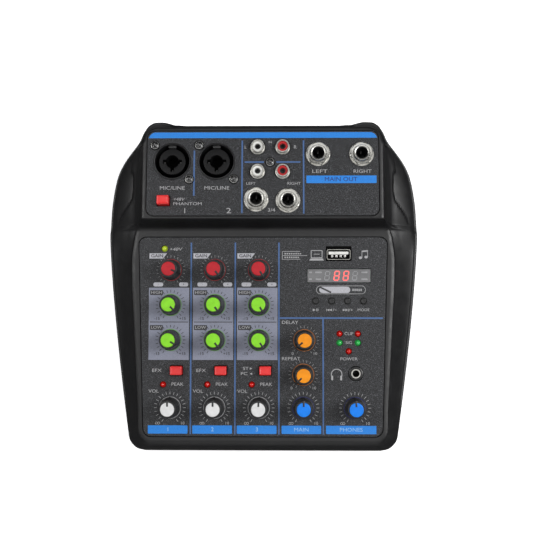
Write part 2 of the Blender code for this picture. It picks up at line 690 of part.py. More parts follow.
def make_display():
    def module(bm):
        add_block(bm, DISPLAY_PLACE, DISPLAY_SIZE, -0.15 * MM, -MAIN_BOARD_DEPTH + TOUCH_GAP)
    add_object("display_window", mesh_of("display_window", module), "window", CONTROL_FRAME)


# ---------------------------------------------------------------- sockets and fasteners


def make_combo_jacks():
    """XLR sockets with a phone jack in the middle: a round collar on a square body."""
    def body(bm):
        add_block(bm, (0, 0), (23.2 * MM, 23.2 * MM), -PANEL_THICKNESS - TOUCH_GAP, -JACK_BOARD_DEPTH + TOUCH_GAP)

    def collar(bm):
        add_cylinder(bm, (0, 0), 10.0 * MM, 0.2 * MM, -2.5 * MM, 28)

    def ring(bm):
        add_cylinder(bm, (0, 0), 9.3 * MM, 2 * MM, -10 * MM, 28)

    def insert(bm):
        add_cylinder(bm, (0, 0), 7.2 * MM, -1.0 * MM, -11 * MM, 24)

    def bores(bm):
        add_cylinder(bm, (0, 0), 3.3 * MM, 3 * MM, -20 * MM, 20)

    def pin_holes(bm):
        for x, y in ((-4.1, 0), (4.1, 0), (0, -4.2)):
            add_cylinder(bm, (x * MM, y * MM), 1.2 * MM, 3 * MM, -9 * MM, 10)

    def screw_holes(bm):
        for s in (-1, 1):
            add_cylinder(bm, (s * COMBO_SCREW[0], COMBO_SCREW_SHIFT - s * COMBO_SCREW[1]), 1.5 * MM, 3 * MM, -9 * MM, 10)
    shapes = (("collar", collar, "UNION"), ("ring", ring, "DIFFERENCE"), ("insert", insert, "UNION"),
              ("bores", bores, "DIFFERENCE"), ("pin_holes", pin_holes, "DIFFERENCE"),
              ("screw_holes", screw_holes, "DIFFERENCE"))
    base, helpers = mesh_of("combo_jack", body), {n: mesh_of(f"combo_{n}", f) for n, f, _ in shapes}
    for i, place in enumerate(COMBO_PLACES):
        jack = add_object(f"combo_jack_{i + 1}", base, "socket", JACK_FRAME, (*place, 0))
        for name, _, operation in shapes:
            join(jack, add_object(f"combo_{name}_{i + 1}", helpers[name], parent=jack), operation)


def make_rca_block():
    """Four phono sockets moulded in one block that a single screw holds to the panel."""
    def body(bm):
        add_block(bm, RCA_CENTRE, (26 * MM, 24.6 * MM), -PANEL_THICKNESS - TOUCH_GAP, -JACK_BOARD_DEPTH + TOUCH_GAP)

    def barrels(bm):
        for place in rca_places():
            add_cylinder(bm, place, 4.1 * MM, 3 * MM, -2.5 * MM, 16)

    def bores(bm):
        for place in rca_places():
            add_cylinder(bm, place, 1.7 * MM, 6 * MM, -9 * MM, 12)
        add_cylinder(bm, RCA_SCREW, 1.5 * MM, 6 * MM, -9 * MM, 10)
    block = add_object("rca_block", mesh_of("rca_block", body), "socket", JACK_FRAME)
    join(block, add_object("rca_barrels", mesh_of("rca_barrels", barrels), parent=JACK_FRAME), "UNION")
    join(block, add_object("rca_bores", mesh_of("rca_bores", bores), parent=JACK_FRAME))


def make_phone_jacks():
    """Quarter-inch sockets: a threaded bush on a square body, held by a hexagonal nut."""
    def body(bm):
        add_block(bm, (0, 0), (12.2 * MM, 12 * MM), -PANEL_THICKNESS - TOUCH_GAP, -JACK_BOARD_DEPTH + TOUCH_GAP)

    def bush(bm):
        add_cylinder(bm, (0, 0), 4.5 * MM, 3.8 * MM, -3 * MM, 20)

    def bore(bm):
        add_cylinder(bm, (0, 0), 3.4 * MM, 5 * MM, -20 * MM, 20)

    def nut(bm):
        add_cylinder(bm, (0, 0), 6.7 * MM, 2.4 * MM, TOUCH_GAP, 6)

    def nut_bore(bm):
        add_cylinder(bm, (0, 0), 4.8 * MM, 5 * MM, -2 * MM, 20)
    meshes = {f.__name__: mesh_of(f"phone_jack_{f.__name__}", f) for f in (body, bush, bore, nut, nut_bore)}
    for name, place in PHONE_JACKS.items():
        jack = add_object(name, meshes["body"], "socket", JACK_FRAME, (*place, 0))
        join(jack, add_object(f"{name}_bush", meshes["bush"], parent=jack), "UNION")
        join(jack, add_object(f"{name}_bore", meshes["bore"], parent=jack))
        fastener = add_object(name.replace("jack", "nut"), meshes["nut"], "steel", JACK_FRAME, (*place, 0))
        join(fastener, add_object(f"{name}_nut_bore", meshes["nut_bore"], parent=fastener))


def make_screws():
    """Pan-head screws with a short shank, for the combination sockets and the phono block."""
    profile = [
        (0, 1.5 * MM), (1.4 * MM, 1.4 * MM), (2.6 * MM, 0.8 * MM), (2.6 * MM, TOUCH_GAP), (1.15 * MM, TOUCH_GAP),
        (1.15 * MM, -8 * MM), (0, -8 * MM),
    ]
    mesh = turned_mesh("panel_screw", profile)
    names = ["combo_screw_1_back", "combo_screw_1_front", "combo_screw_2_back", "combo_screw_2_front", "rca_screw"]
    for name, place in zip(names, [*combo_screw_places(), RCA_SCREW]):
        add_screw(add_object(name, mesh, "steel", JACK_FRAME, (*place, 0)), 16)


def make_headphone_jack():
    def body(bm):
        add_block(bm, PHONES_PLACE, (9 * MM, 9 * MM), -PANEL_THICKNESS - TOUCH_GAP, -MAIN_BOARD_DEPTH + TOUCH_GAP)

    def bush(bm):
        add_cylinder(bm, PHONES_PLACE, 3.9 * MM, 0.8 * MM, -3 * MM, 24)

    def bore(bm):
        add_cylinder(bm, PHONES_PLACE, 1.85 * MM, 3 * MM, -9.5 * MM, 16)
    jack = add_object("headphone_jack", mesh_of("headphone_jack", body), "socket", CONTROL_FRAME)
    join(jack, add_object("headphone_bush", mesh_of("headphone_bush", bush), parent=CONTROL_FRAME), "UNION")
    join(jack, add_object("headphone_bore", mesh_of("headphone_bore", bore), parent=CONTROL_FRAME))


def make_usb_a_port():
    def shell(bm):
        add_block(bm, USB_PLACE, (13.1 * MM, 5.8 * MM), -0.2 * MM, -MAIN_BOARD_DEPTH + TOUCH_GAP)

    def mouth(bm):
        add_block(bm, USB_PLACE, (12.4 * MM, 5.1 * MM), 2 * MM, -9.5 * MM)

    def tongue(bm):
        place = (USB_PLACE[0], USB_PLACE[1] + 1.1 * MM)
        add_block(bm, place, (11.2 * MM, 1.9 * MM), -1.0 * MM, -10 * MM)
    port = add_object("usb_a_port", mesh_of("usb_a_port", shell), "steel", CONTROL_FRAME)
    join(port, add_object("usb_a_mouth", mesh_of("usb_a_mouth", mouth), parent=CONTROL_FRAME))
    join(port, add_object("usb_a_tongue", mesh_of("usb_a_tongue", tongue), parent=CONTROL_FRAME), "UNION")


USB_B_CENTRE = Vector((-24, 84.5, 20)) * MM


def make_usb_b_port():
    """The power and audio socket in the back wall."""
    back = 85.0 * MM
    depth = 16 * MM
    centre = (USB_B_CENTRE.x, back - depth / 2, USB_B_CENTRE.z)

    def shell(bm):
        add_box(bm, centre, (12 * MM, depth, 11 * MM))

    def mouth(bm):
        add_box(bm, (USB_B_CENTRE.x, back, USB_B_CENTRE.z), (8.6 * MM, 20 * MM, 8.0 * MM))

    def tongue(bm):
        add_box(bm, (USB_B_CENTRE.x, back - 6.6 * MM, USB_B_CENTRE.z), (5.6 * MM, 9.2 * MM, 3.1 * MM))
    port = add_object("usb_b_port", mesh_of("usb_b_port", shell), "steel")
    join(port, add_object("usb_b_mouth", mesh_of("usb_b_mouth", mouth)))
    join(port, add_object("usb_b_tongue", mesh_of("usb_b_tongue", tongue)), "UNION")


def main():
    make_housing()
    make_cover()
    make_feet()
    make_control_panel()
    make_jack_panel()
    make_main_board()
    make_jack_board()
    make_ribbon_cable()
    make_knobs()
    make_switch_caps()
    make_media_buttons()
    make_leds()
    make_display()
    make_combo_jacks()
    make_rca_block()
    make_phone_jacks()
    make_screws()
    make_headphone_jack()
    make_usb_a_port()
    make_usb_b_port()


clear_scene()
PARTS = make_collection("mixing_console")
CUTTERS = make_collection("cutters")
CUTTERS.hide_render = True
CONTROL_FRAME = panel_frame("control_panel_frame", CONTROL_FRONT, CONTROL_SLOPE)
JACK_FRAME = panel_frame("jack_panel_frame", JACK_FRONT, JACK_SLOPE)
main()
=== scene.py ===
import json
import math

import bmesh
import bpy
import numpy as np
from mathutils import Matrix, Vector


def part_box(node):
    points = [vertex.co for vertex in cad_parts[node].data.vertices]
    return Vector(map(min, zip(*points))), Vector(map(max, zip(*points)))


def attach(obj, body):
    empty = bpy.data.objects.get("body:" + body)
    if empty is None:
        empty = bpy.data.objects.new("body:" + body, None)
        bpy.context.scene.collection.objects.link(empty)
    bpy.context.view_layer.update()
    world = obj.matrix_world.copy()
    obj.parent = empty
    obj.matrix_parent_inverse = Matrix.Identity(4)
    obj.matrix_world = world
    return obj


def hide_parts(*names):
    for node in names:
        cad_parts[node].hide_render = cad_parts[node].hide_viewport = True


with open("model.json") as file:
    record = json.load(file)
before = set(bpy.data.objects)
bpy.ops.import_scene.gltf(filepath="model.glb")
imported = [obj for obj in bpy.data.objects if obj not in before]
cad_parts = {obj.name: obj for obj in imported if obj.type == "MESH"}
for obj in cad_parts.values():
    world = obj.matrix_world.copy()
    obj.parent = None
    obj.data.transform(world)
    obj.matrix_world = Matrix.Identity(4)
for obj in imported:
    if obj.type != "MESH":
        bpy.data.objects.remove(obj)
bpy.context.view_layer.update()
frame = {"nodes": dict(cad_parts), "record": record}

bl_info = {
    "name": "Mixing Console",
    "version": (1, 0, 0),
    "blender": (4, 5, 0),
    "location": "View3D > Sidebar > Console",
    "description": "Builds the visible surfaces of a four-channel mixing console around its packed frame",
    "category": "Object",
}

MM = 0.001
TAU = 2 * math.pi
JOINTS = {joint["name"]: joint for joint in frame["record"]["behaviour"]["joints"]}


# ---------------------------------------------------------------- panel frames


def node_box(node):
    """Low corner, high corner and middle of a node's box, in mm."""
    low, high = (np.array(corner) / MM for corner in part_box(node))
    return low, high, (low + high) / 2


class Panel:
    """A sloping face: x runs across, y up the slope from its front edge and z out of the face, in mm."""

    def __init__(self, front_y, front_z, slope):
        self.front = np.array([0.0, front_y, front_z])
        self.slope = math.radians(slope)

    def place(self, points):
        """Turns points about the x axis by the slope, then moves them to the face."""
        x, y, z = np.moveaxis(np.asarray(points, float), -1, 0)
        c, s = math.cos(self.slope), math.sin(self.slope)
        return np.stack([x, y * c - z * s, y * s + z * c], -1) + self.front

    def find(self, node):
        """Across and along for the middle of a node's box, measured on the face."""
        x, y, z = node_box(node)[2] - self.front
        c, s = math.cos(self.slope), math.sin(self.slope)
        return x, y * c + z * s


CONTROL = Panel(-83.1, 22.06, 8.0)
JACKS = Panel(33.7, 50.5, 3.2)
CONTROL_LENGTH, CONTROL_FRONT_HALF, CONTROL_BACK_HALF = 109.3, 65.45, 68.7
JACKS_LENGTH, JACKS_HALF = 47.5, 63.3
PANEL_CORNER = 4.4
RECESS_DEPTH = 1.5
COLUMNS = [-50.75 + 24.3 * i for i in range(5)]
KNOBS = {
    # name: cap colour and the pointer's angle clockwise from straight back
    "gain_knob_1": ("red", 112), "gain_knob_2": ("red", 141), "gain_knob_3": ("red", 149),
    "high_knob_1": ("green", 135), "high_knob_2": ("green", 145), "high_knob_3": ("green", 149),
    "low_knob_1": ("green", 120), "low_knob_2": ("green", 143), "low_knob_3": ("green", 146),
    "volume_knob_1": ("white", 0), "volume_knob_2": ("white", 0), "volume_knob_3": ("white", 3),
    "delay_knob": ("orange", -131), "repeat_knob": ("orange", -136),
    "main_knob": ("blue", 0), "phones_knob": ("blue", -4),
}
SWITCHES = ["effect_switch_1", "effect_switch_2", "source_switch"]
MEDIA_BUTTONS = ["play_button", "back_button", "forward_button", "mode_button"]
PEAK_LEDS = ["peak_led_1", "peak_led_2", "peak_led_3"]
COMBOS = ["combo_jack_1", "combo_jack_2"]
PHONE_JACKS = ["stereo_jack_left", "stereo_jack_right", "main_jack_left", "main_jack_right"]
SCREWS = ["combo_screw_1_back", "combo_screw_1_front", "combo_screw_2_back", "combo_screw_2_front", "rca_screw"]
FEET = ["foot_front_left", "foot_front_right", "foot_back_left", "foot_back_right"]
METER_X, METER_HALF, METER_ROWS = 47.1, 5.0, (46.5, 51.2, 56.1)
INK_TOP, INK_ROOT = 0.04, -0.05


def knob_place(name):
    """Across and along for a knob, from its joint."""
    x, y, z = np.array(JOINTS[f"{name}_turn"]["pos_m"]) / MM - CONTROL.front
    return x, y * math.cos(CONTROL.slope) + z * math.sin(CONTROL.slope)


# ---------------------------------------------------------------- surfaces


def smooth_curve(xs, ys, x):
    """A curve through points that never swings past them: cubic pieces whose slopes are harmonic means."""
    xs, ys, x = (np.asarray(a, float) for a in (xs, ys, x))
    step = np.diff(xs)
    rise = np.diff(ys, axis=0) / step.reshape((-1,) + (1,) * (ys.ndim - 1))
    slope = np.zeros_like(ys)
    same = rise[:-1] * rise[1:] > 0
    safe = np.where(same, rise[:-1] + rise[1:], 1)
    slope[1:-1] = np.where(same, 2 * rise[:-1] * rise[1:] / safe, 0)
    slope[0], slope[-1] = rise[0], rise[-1]
    i = np.clip(np.searchsorted(xs, x, side="right") - 1, 0, len(step) - 1)
    shape = (-1,) + (1,) * (ys.ndim - 1)
    h, t = step[i].reshape(shape), ((x - xs[i]) / step[i]).reshape(shape)
    return (
        ys[i] * (1 + 2 * t) * (1 - t) ** 2 + slope[i] * h * t * (1 - t) ** 2
        + ys[i + 1] * t * t * (3 - 2 * t) + slope[i + 1] * h * t * t * (t - 1)
    )


def ease(t):
    """0 below 0, 1 above 1 and a smooth S between."""
    t = np.clip(t, 0, 1)
    return t * t * (3 - 2 * t)


def grid_faces(rows, cols, close_rows=False, close_cols=True):
    """Four-sided faces between neighbouring points of a grid, kept as one array."""
    r = np.arange(rows if close_rows else rows - 1)[:, None]
    c = np.arange(cols if close_cols else cols - 1)[None, :]
    nr, nc = (r + 1) % rows, (c + 1) % cols
    return np.stack([r * cols + c, nr * cols + c, nr * cols + nc, r * cols + nc], -1).reshape(-1, 4)


def lathe(profile, sides=48, warp=None):
    """A profile of (radius, height) carried round z: x = r cos a, y = r sin a.

    An end on the axis closes in a single point; a profile that starts and ends off it is a ring.
    warp changes the radius as a function of (radius, height, angle).
    """
    profile = np.asarray(profile, float)
    top, bottom = profile[0, 0] == 0, profile[-1, 0] == 0
    body = profile[int(top):len(profile) - int(bottom)]
    angle = np.arange(sides) * TAU / sides
    radius = np.repeat(body[:, :1], sides, 1)
    height = np.repeat(body[:, 1:], sides, 1)
    if warp:
        radius = warp(radius, height, angle[None, :])
    points = np.stack([radius * np.cos(angle), radius * np.sin(angle), height], -1).reshape(-1, 3)
    faces = grid_faces(len(body), sides, close_rows=not (top or bottom)).tolist()
    ring = np.arange(sides)
    for closed, height, base in ((top, profile[0, 1], 0), (bottom, profile[-1, 1], (len(body) - 1) * sides)):
        if closed:
            points = np.vstack([points, [[0, 0, height]]])
            pole = np.full(sides, len(points) - 1)
            faces += np.stack([pole, base + ring, base + (ring + 1) % sides], -1).tolist()
    return points, faces


def rounded_rectangle(width, length, radius, steps=6, centre=(0, 0)):
    """Corner arcs joined by straight sides, anticlockwise from the right side's lower end."""
    quarter = np.linspace(0, math.pi / 2, steps + 1)
    points = []
    for k, (sx, sy) in enumerate(((1, -1), (1, 1), (-1, 1), (-1, -1))):
        angle = quarter + (k - 1) * math.pi / 2
        points.append(np.stack([
            centre[0] + sx * (width / 2 - radius) + radius * np.cos(angle),
            centre[1] + sy * (length / 2 - radius) + radius * np.sin(angle),
        ], -1))
    return np.vstack(points)


def circle(radius, sides=32, centre=(0, 0), start=0.0, end=TAU):
    closed = abs(end - start - TAU) < 1e-9
    angle = np.linspace(start, end, sides, endpoint=not closed)
    return np.stack([centre[0] + radius * np.cos(angle), centre[1] + radius * np.sin(angle)], -1)


def stack(outlines, heights):
    """Outlines of equal counts laid one under the other, with a flat face at each end."""
    rows, cols = len(outlines), len(outlines[0])
    points = np.vstack([np.column_stack([o, np.full(cols, z)]) for o, z in zip(outlines, heights)])
    faces = grid_faces(rows, cols).tolist()
    faces += [list(range(cols)), list(range((rows - 1) * cols, rows * cols))]
    return points, faces


def soft_block(width, length, corner, top, bottom, edge=0.4, steps=4, centre=(0, 0), dish=0.0):
    """A block with rounded corners in plan and a quarter-round along its top edge; dish sinks the top."""
    turn = np.linspace(math.pi / 2, 0, steps + 1)
    levels = [(edge * (1 - math.cos(a)), top - edge * (1 - math.sin(a))) for a in turn]
    levels += [(0.0, bottom)]
    if dish:
        levels = [(edge * 2.2, top - dish), (edge * 1.6, top - dish * 0.8)] + levels
    outlines = [
        rounded_rectangle(width - 2 * inset, length - 2 * inset, max(corner - inset, 0.05), centre=centre)
        for inset, _ in levels
    ]
    return stack(outlines, [z for _, z in levels])


def band(inner, outer, top, bottom):
    """A flat ring between two outlines of equal counts, with walls of its own."""
    n = len(inner)
    loops = [(inner, top), (outer, top), (outer, bottom), (inner, bottom)]
    points = np.vstack([np.column_stack([o, np.full(n, z)]) for o, z in loops])
    return points, grid_faces(4, n, close_rows=True).tolist()


def slab(outline, top, bottom):
    return stack([np.asarray(outline, float)] * 2, [top, bottom])


def joined(*shapes):
    """Several (points, faces) shapes as one."""
    points, faces, count = [], [], 0
    for shape_points, shape_faces in shapes:
        points.append(shape_points)
        faces += [[i + count for i in face] for face in shape_faces]
        count += len(shape_points)
    return np.vstack(points), faces


def moved(shape, x=0.0, y=0.0, z=0.0, turn=0.0):
    """A shape turned about z, anticlockwise in degrees, then moved."""
    points, faces = shape
    a = math.radians(turn)
    turned = points @ np.array([[math.cos(a), math.sin(a), 0], [-math.sin(a), math.cos(a), 0], [0, 0, 1]])
    return turned + [x, y, z], faces


def mesh_from(name, shape):
    points, faces = shape
    mesh = bpy.data.meshes.new(name)
    mesh.from_pydata((np.asarray(points) * MM).tolist(), [], faces)
    bm = bmesh.new()
    bm.from_mesh(mesh)
    bmesh.ops.recalc_face_normals(bm, faces=bm.faces)
    bm.to_mesh(mesh)
    bm.free()
    return mesh


def shade(mesh, sharp=32):
    """Smooth shading, with a crisp line wherever two faces meet at more than the sharp angle."""
    mesh.polygons.foreach_set("use_smooth", np.ones(len(mesh.polygons), bool))
    mesh.set_sharp_from_angle(angle=math.radians(sharp))


def put(name, shape, finish, panel=None, at=(0.0, 0.0), turn=0.0, body="console", stands_for=()):
    """Makes a finished piece: turned and moved on its panel, given its finish and tied to its body."""
    points, faces = moved(shape, *at, turn=turn)
    if panel:
        points = panel.place(points)
    return put_mesh(name, mesh_from(name, (points, faces)), finish, body, stands_for)


def put_mesh(name, mesh, finish, body="console", stands_for=()):
    """Turns a mesh into a piece that rides its body and replaces the nodes that it stands for."""
    obj = bpy.data.objects.new(name, mesh)
    bpy.context.scene.collection.objects.link(obj)
    mesh.materials.clear()
    mesh.materials.append(FINISHES[finish])
    shade(mesh)
    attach(obj, body)
    if stands_for:
        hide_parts(*stands_for)
    return obj


def filled(name, outlines, top, bottom):
    """Flat outlines, the first the outer one and the rest holes, filled and given a thickness."""
    curve = bpy.data.curves.new(name, "CURVE")
    curve.dimensions = "2D"
    curve.fill_mode = "BOTH"
    curve.extrude = (top - bottom) / 2 * MM
    for outline in outlines:
        spline = curve.splines.new("POLY")
        spline.points.add(len(outline) - 1)
        flat = np.column_stack([np.asarray(outline) * MM, np.zeros(len(outline)), np.ones(len(outline))])
        spline.points.foreach_set("co", flat.ravel())
        spline.use_cyclic_u = True
    shape = solid_of(curve)
    return shape[0] + [0, 0, (top + bottom) / 2], shape[1]


def solid_of(data):
    """The closed mesh of a curve or text, as (points in mm, faces), with its doubles merged."""
    holder = bpy.data.objects.new(data.name, data)
    bpy.context.scene.collection.objects.link(holder)
    bpy.context.view_layer.update()
    mesh = bpy.data.meshes.new_from_object(holder.evaluated_get(bpy.context.evaluated_depsgraph_get()))
    bpy.data.objects.remove(holder)
    bm = bmesh.new()
    bm.from_mesh(mesh)
    bmesh.ops.remove_doubles(bm, verts=bm.verts, dist=0.0005 * MM)
    points = np.array([v.co[:] for v in bm.verts]) / MM
    faces = [[v.index for v in face.verts] for face in bm.faces]
    bm.free()
    return points, faces


def lettering(words, x, y, height, align="CENTER", lean=0.0, top=0.05, squeeze=1.0, weight=0.0):
    """Plain words as a thin solid on a panel; height is that of a capital letter."""
    data = bpy.data.curves.new("lettering", "FONT")
    data.body = words
    data.size = height / 0.69 * MM
    data.align_x = align
    data.align_y = "CENTER"
    data.shear = lean
    data.offset = weight * MM
    data.resolution_u = 3
    half_depth = 0.04
    data.extrude = half_depth * MM
    points, faces = solid_of(data)
    return points * [squeeze, 1, 1] + [x, y, top - half_depth], faces


# ---------------------------------------------------------------- finishes

FINISHES = {}


class Finish:
    """A small builder for one procedural material whose patterns read Object coordinates."""

    def __init__(self, name, colour, roughness, metallic=0.0):
        self.material = bpy.data.materials.new(name)
        self.material.use_nodes = True
        self.nodes, self.links = self.material.node_tree.nodes, self.material.node_tree.links
        self.shader = self.nodes["Principled BSDF"]
        self.shader.inputs["Base Color"].default_value = (*colour, 1)
        self.shader.inputs["Roughness"].default_value = roughness
        self.shader.inputs["Metallic"].default_value = metallic
        self.colour, self.roughness = colour, roughness
        self.place = self.nodes.new("ShaderNodeTexCoord").outputs["Object"]
        self.height = None
        FINISHES[name] = self.material

    def noise(self, size, detail=3.0, rough=0.55, stretch=(1, 1, 1)):
        """Noise whose lumps are about size mm across."""
        place = self.place
        if stretch != (1, 1, 1):
            mapping = self.nodes.new("ShaderNodeMapping")
            mapping.inputs["Scale"].default_value = stretch
            self.links.new(place, mapping.inputs["Vector"])
            place = mapping.outputs["Vector"]
        node = self.nodes.new("ShaderNodeTexNoise")
        node.inputs["Scale"].default_value = 1 / (size * MM)
        node.inputs["Detail"].default_value = detail
        node.inputs["Roughness"].default_value = rough
        self.links.new(place, node.inputs["Vector"])
        return node.outputs["Fac"]

    def ramp(self, source, stops):
        """Colours along a pattern, from (position, colour) stops."""
        node = self.nodes.new("ShaderNodeValToRGB")
        elements = node.color_ramp.elements
        while len(elements) < len(stops):
            elements.new(0.5)
        for element, (position, colour) in zip(elements, stops):
            element.position = position
            element.color = (*colour, 1)
        self.links.new(source, node.inputs["Fac"])
        return node.outputs["Color"]

    def span(self, source, low, high, start=0.3, end=0.7):
        """A pattern's middle stretched out to run from low to high."""
        node = self.nodes.new("ShaderNodeMapRange")
        for key, value in (("From Min", start), ("From Max", end), ("To Min", low), ("To Max", high)):
            node.inputs[key].default_value = value
        self.links.new(source, node.inputs["Value"])
        return node.outputs["Result"]

    def vary_colour(self, source, darker, lighter):
        """Base colour scaled from darker to lighter along a pattern."""
        low = [min(1, c * darker) for c in self.colour]
        high = [min(1, c * lighter) for c in self.colour]
        self.links.new(self.ramp(source, [(0.35, low), (0.65, high)]), self.shader.inputs["Base Color"])

    def vary_roughness(self, source, spread):
        """Roughness that wanders by the spread either way."""
        low, high = max(0.03, self.roughness - spread), min(1, self.roughness + spread)
        self.links.new(self.span(source, low, high), self.shader.inputs["Roughness"])

    def relief(self, source, depth, strength=1.0):
        """Raises the surface by a pattern, depth mm high."""
        bump = self.nodes.new("ShaderNodeBump")
        bump.inputs["Distance"].default_value = depth * MM
        bump.inputs["Strength"].default_value = strength
        self.links.new(source, bump.inputs["Height"])
        if self.height:
            self.links.new(self.height, bump.inputs["Normal"])
        self.height = bump.outputs["Normal"]
        self.links.new(self.height, self.shader.inputs["Normal"])

    def painted_edge_highlight(self, lighter):
        """Lightens the outer edges: a painted highlight where sharp edges would catch the light."""
        sharpness = self.nodes.new("ShaderNodeNewGeometry").outputs["Pointiness"]
        mask = self.span(sharpness, 0, 1, 0.53, 0.60)
        mix = self.nodes.new("ShaderNodeMix")
        mix.data_type = "RGBA"
        base = self.shader.inputs["Base Color"]
        if base.links:
            self.links.new(base.links[0].from_socket, mix.inputs["A"])
        else:
            mix.inputs["A"].default_value = (*self.colour, 1)
        mix.inputs["B"].default_value = (*[min(1, c * lighter) for c in self.colour], 1)
        self.links.new(mask, mix.inputs["Factor"])
        self.links.new(mix.outputs["Result"], base)

    def gloss(self, level):
        """How strongly the surface mirrors at a glance straight down: 0.5 is ordinary plastic."""
        self.shader.inputs["Specular IOR Level"].default_value = level


def moulded(name, colour, roughness, grain=0.35, depth=0.02, spread=0.08):
    """Moulded plastic: a fine sparked grain with faint clouds in its colour and sheen."""
    finish = Finish(name, colour, roughness)
    finish.vary_colour(finish.noise(9, 4), 0.88, 1.14)
    finish.vary_roughness(finish.noise(5, 5), spread)
    finish.relief(finish.noise(grain, 2), depth, 0.5)
    return finish


def plated(name, colour, roughness):
    """Plated metal: soft tarnish clouds and fine scratches."""
    finish = Finish(name, colour, roughness, 1.0)
    finish.vary_colour(finish.noise(2.5, 5), 0.80, 1.10)
    finish.vary_roughness(finish.noise(1.2, 6), 0.09)
    finish.relief(finish.noise(0.3, 2, stretch=(1, 6, 1)), 0.002, 0.25)
    return finish


def ink(name, colour, roughness=0.5):
    """Screen-printed ink: slightly uneven cover and a dry surface."""
    finish = Finish(name, colour, roughness)
    finish.vary_colour(finish.noise(0.5, 4), 0.86, 1.08)
    finish.relief(finish.noise(0.2, 2), 0.006, 0.4)
    return finish


def lens(name, colour, glow):
    """Tinted clear resin over a lit chip: brighter where the light gathers."""
    finish = Finish(name, colour, 0.12)
    finish.vary_colour(finish.noise(0.9, 3), 0.75, 1.15)
    finish.relief(finish.noise(0.6, 1), 0.01, 0.3)
    finish.shader.inputs["Emission Color"].default_value = (*colour, 1)
    finish.shader.inputs["Emission Strength"].default_value = glow
    finish.shader.inputs["Coat Weight"].default_value = 0.6
    finish.shader.inputs["Coat Roughness"].default_value = 0.05
    return finish


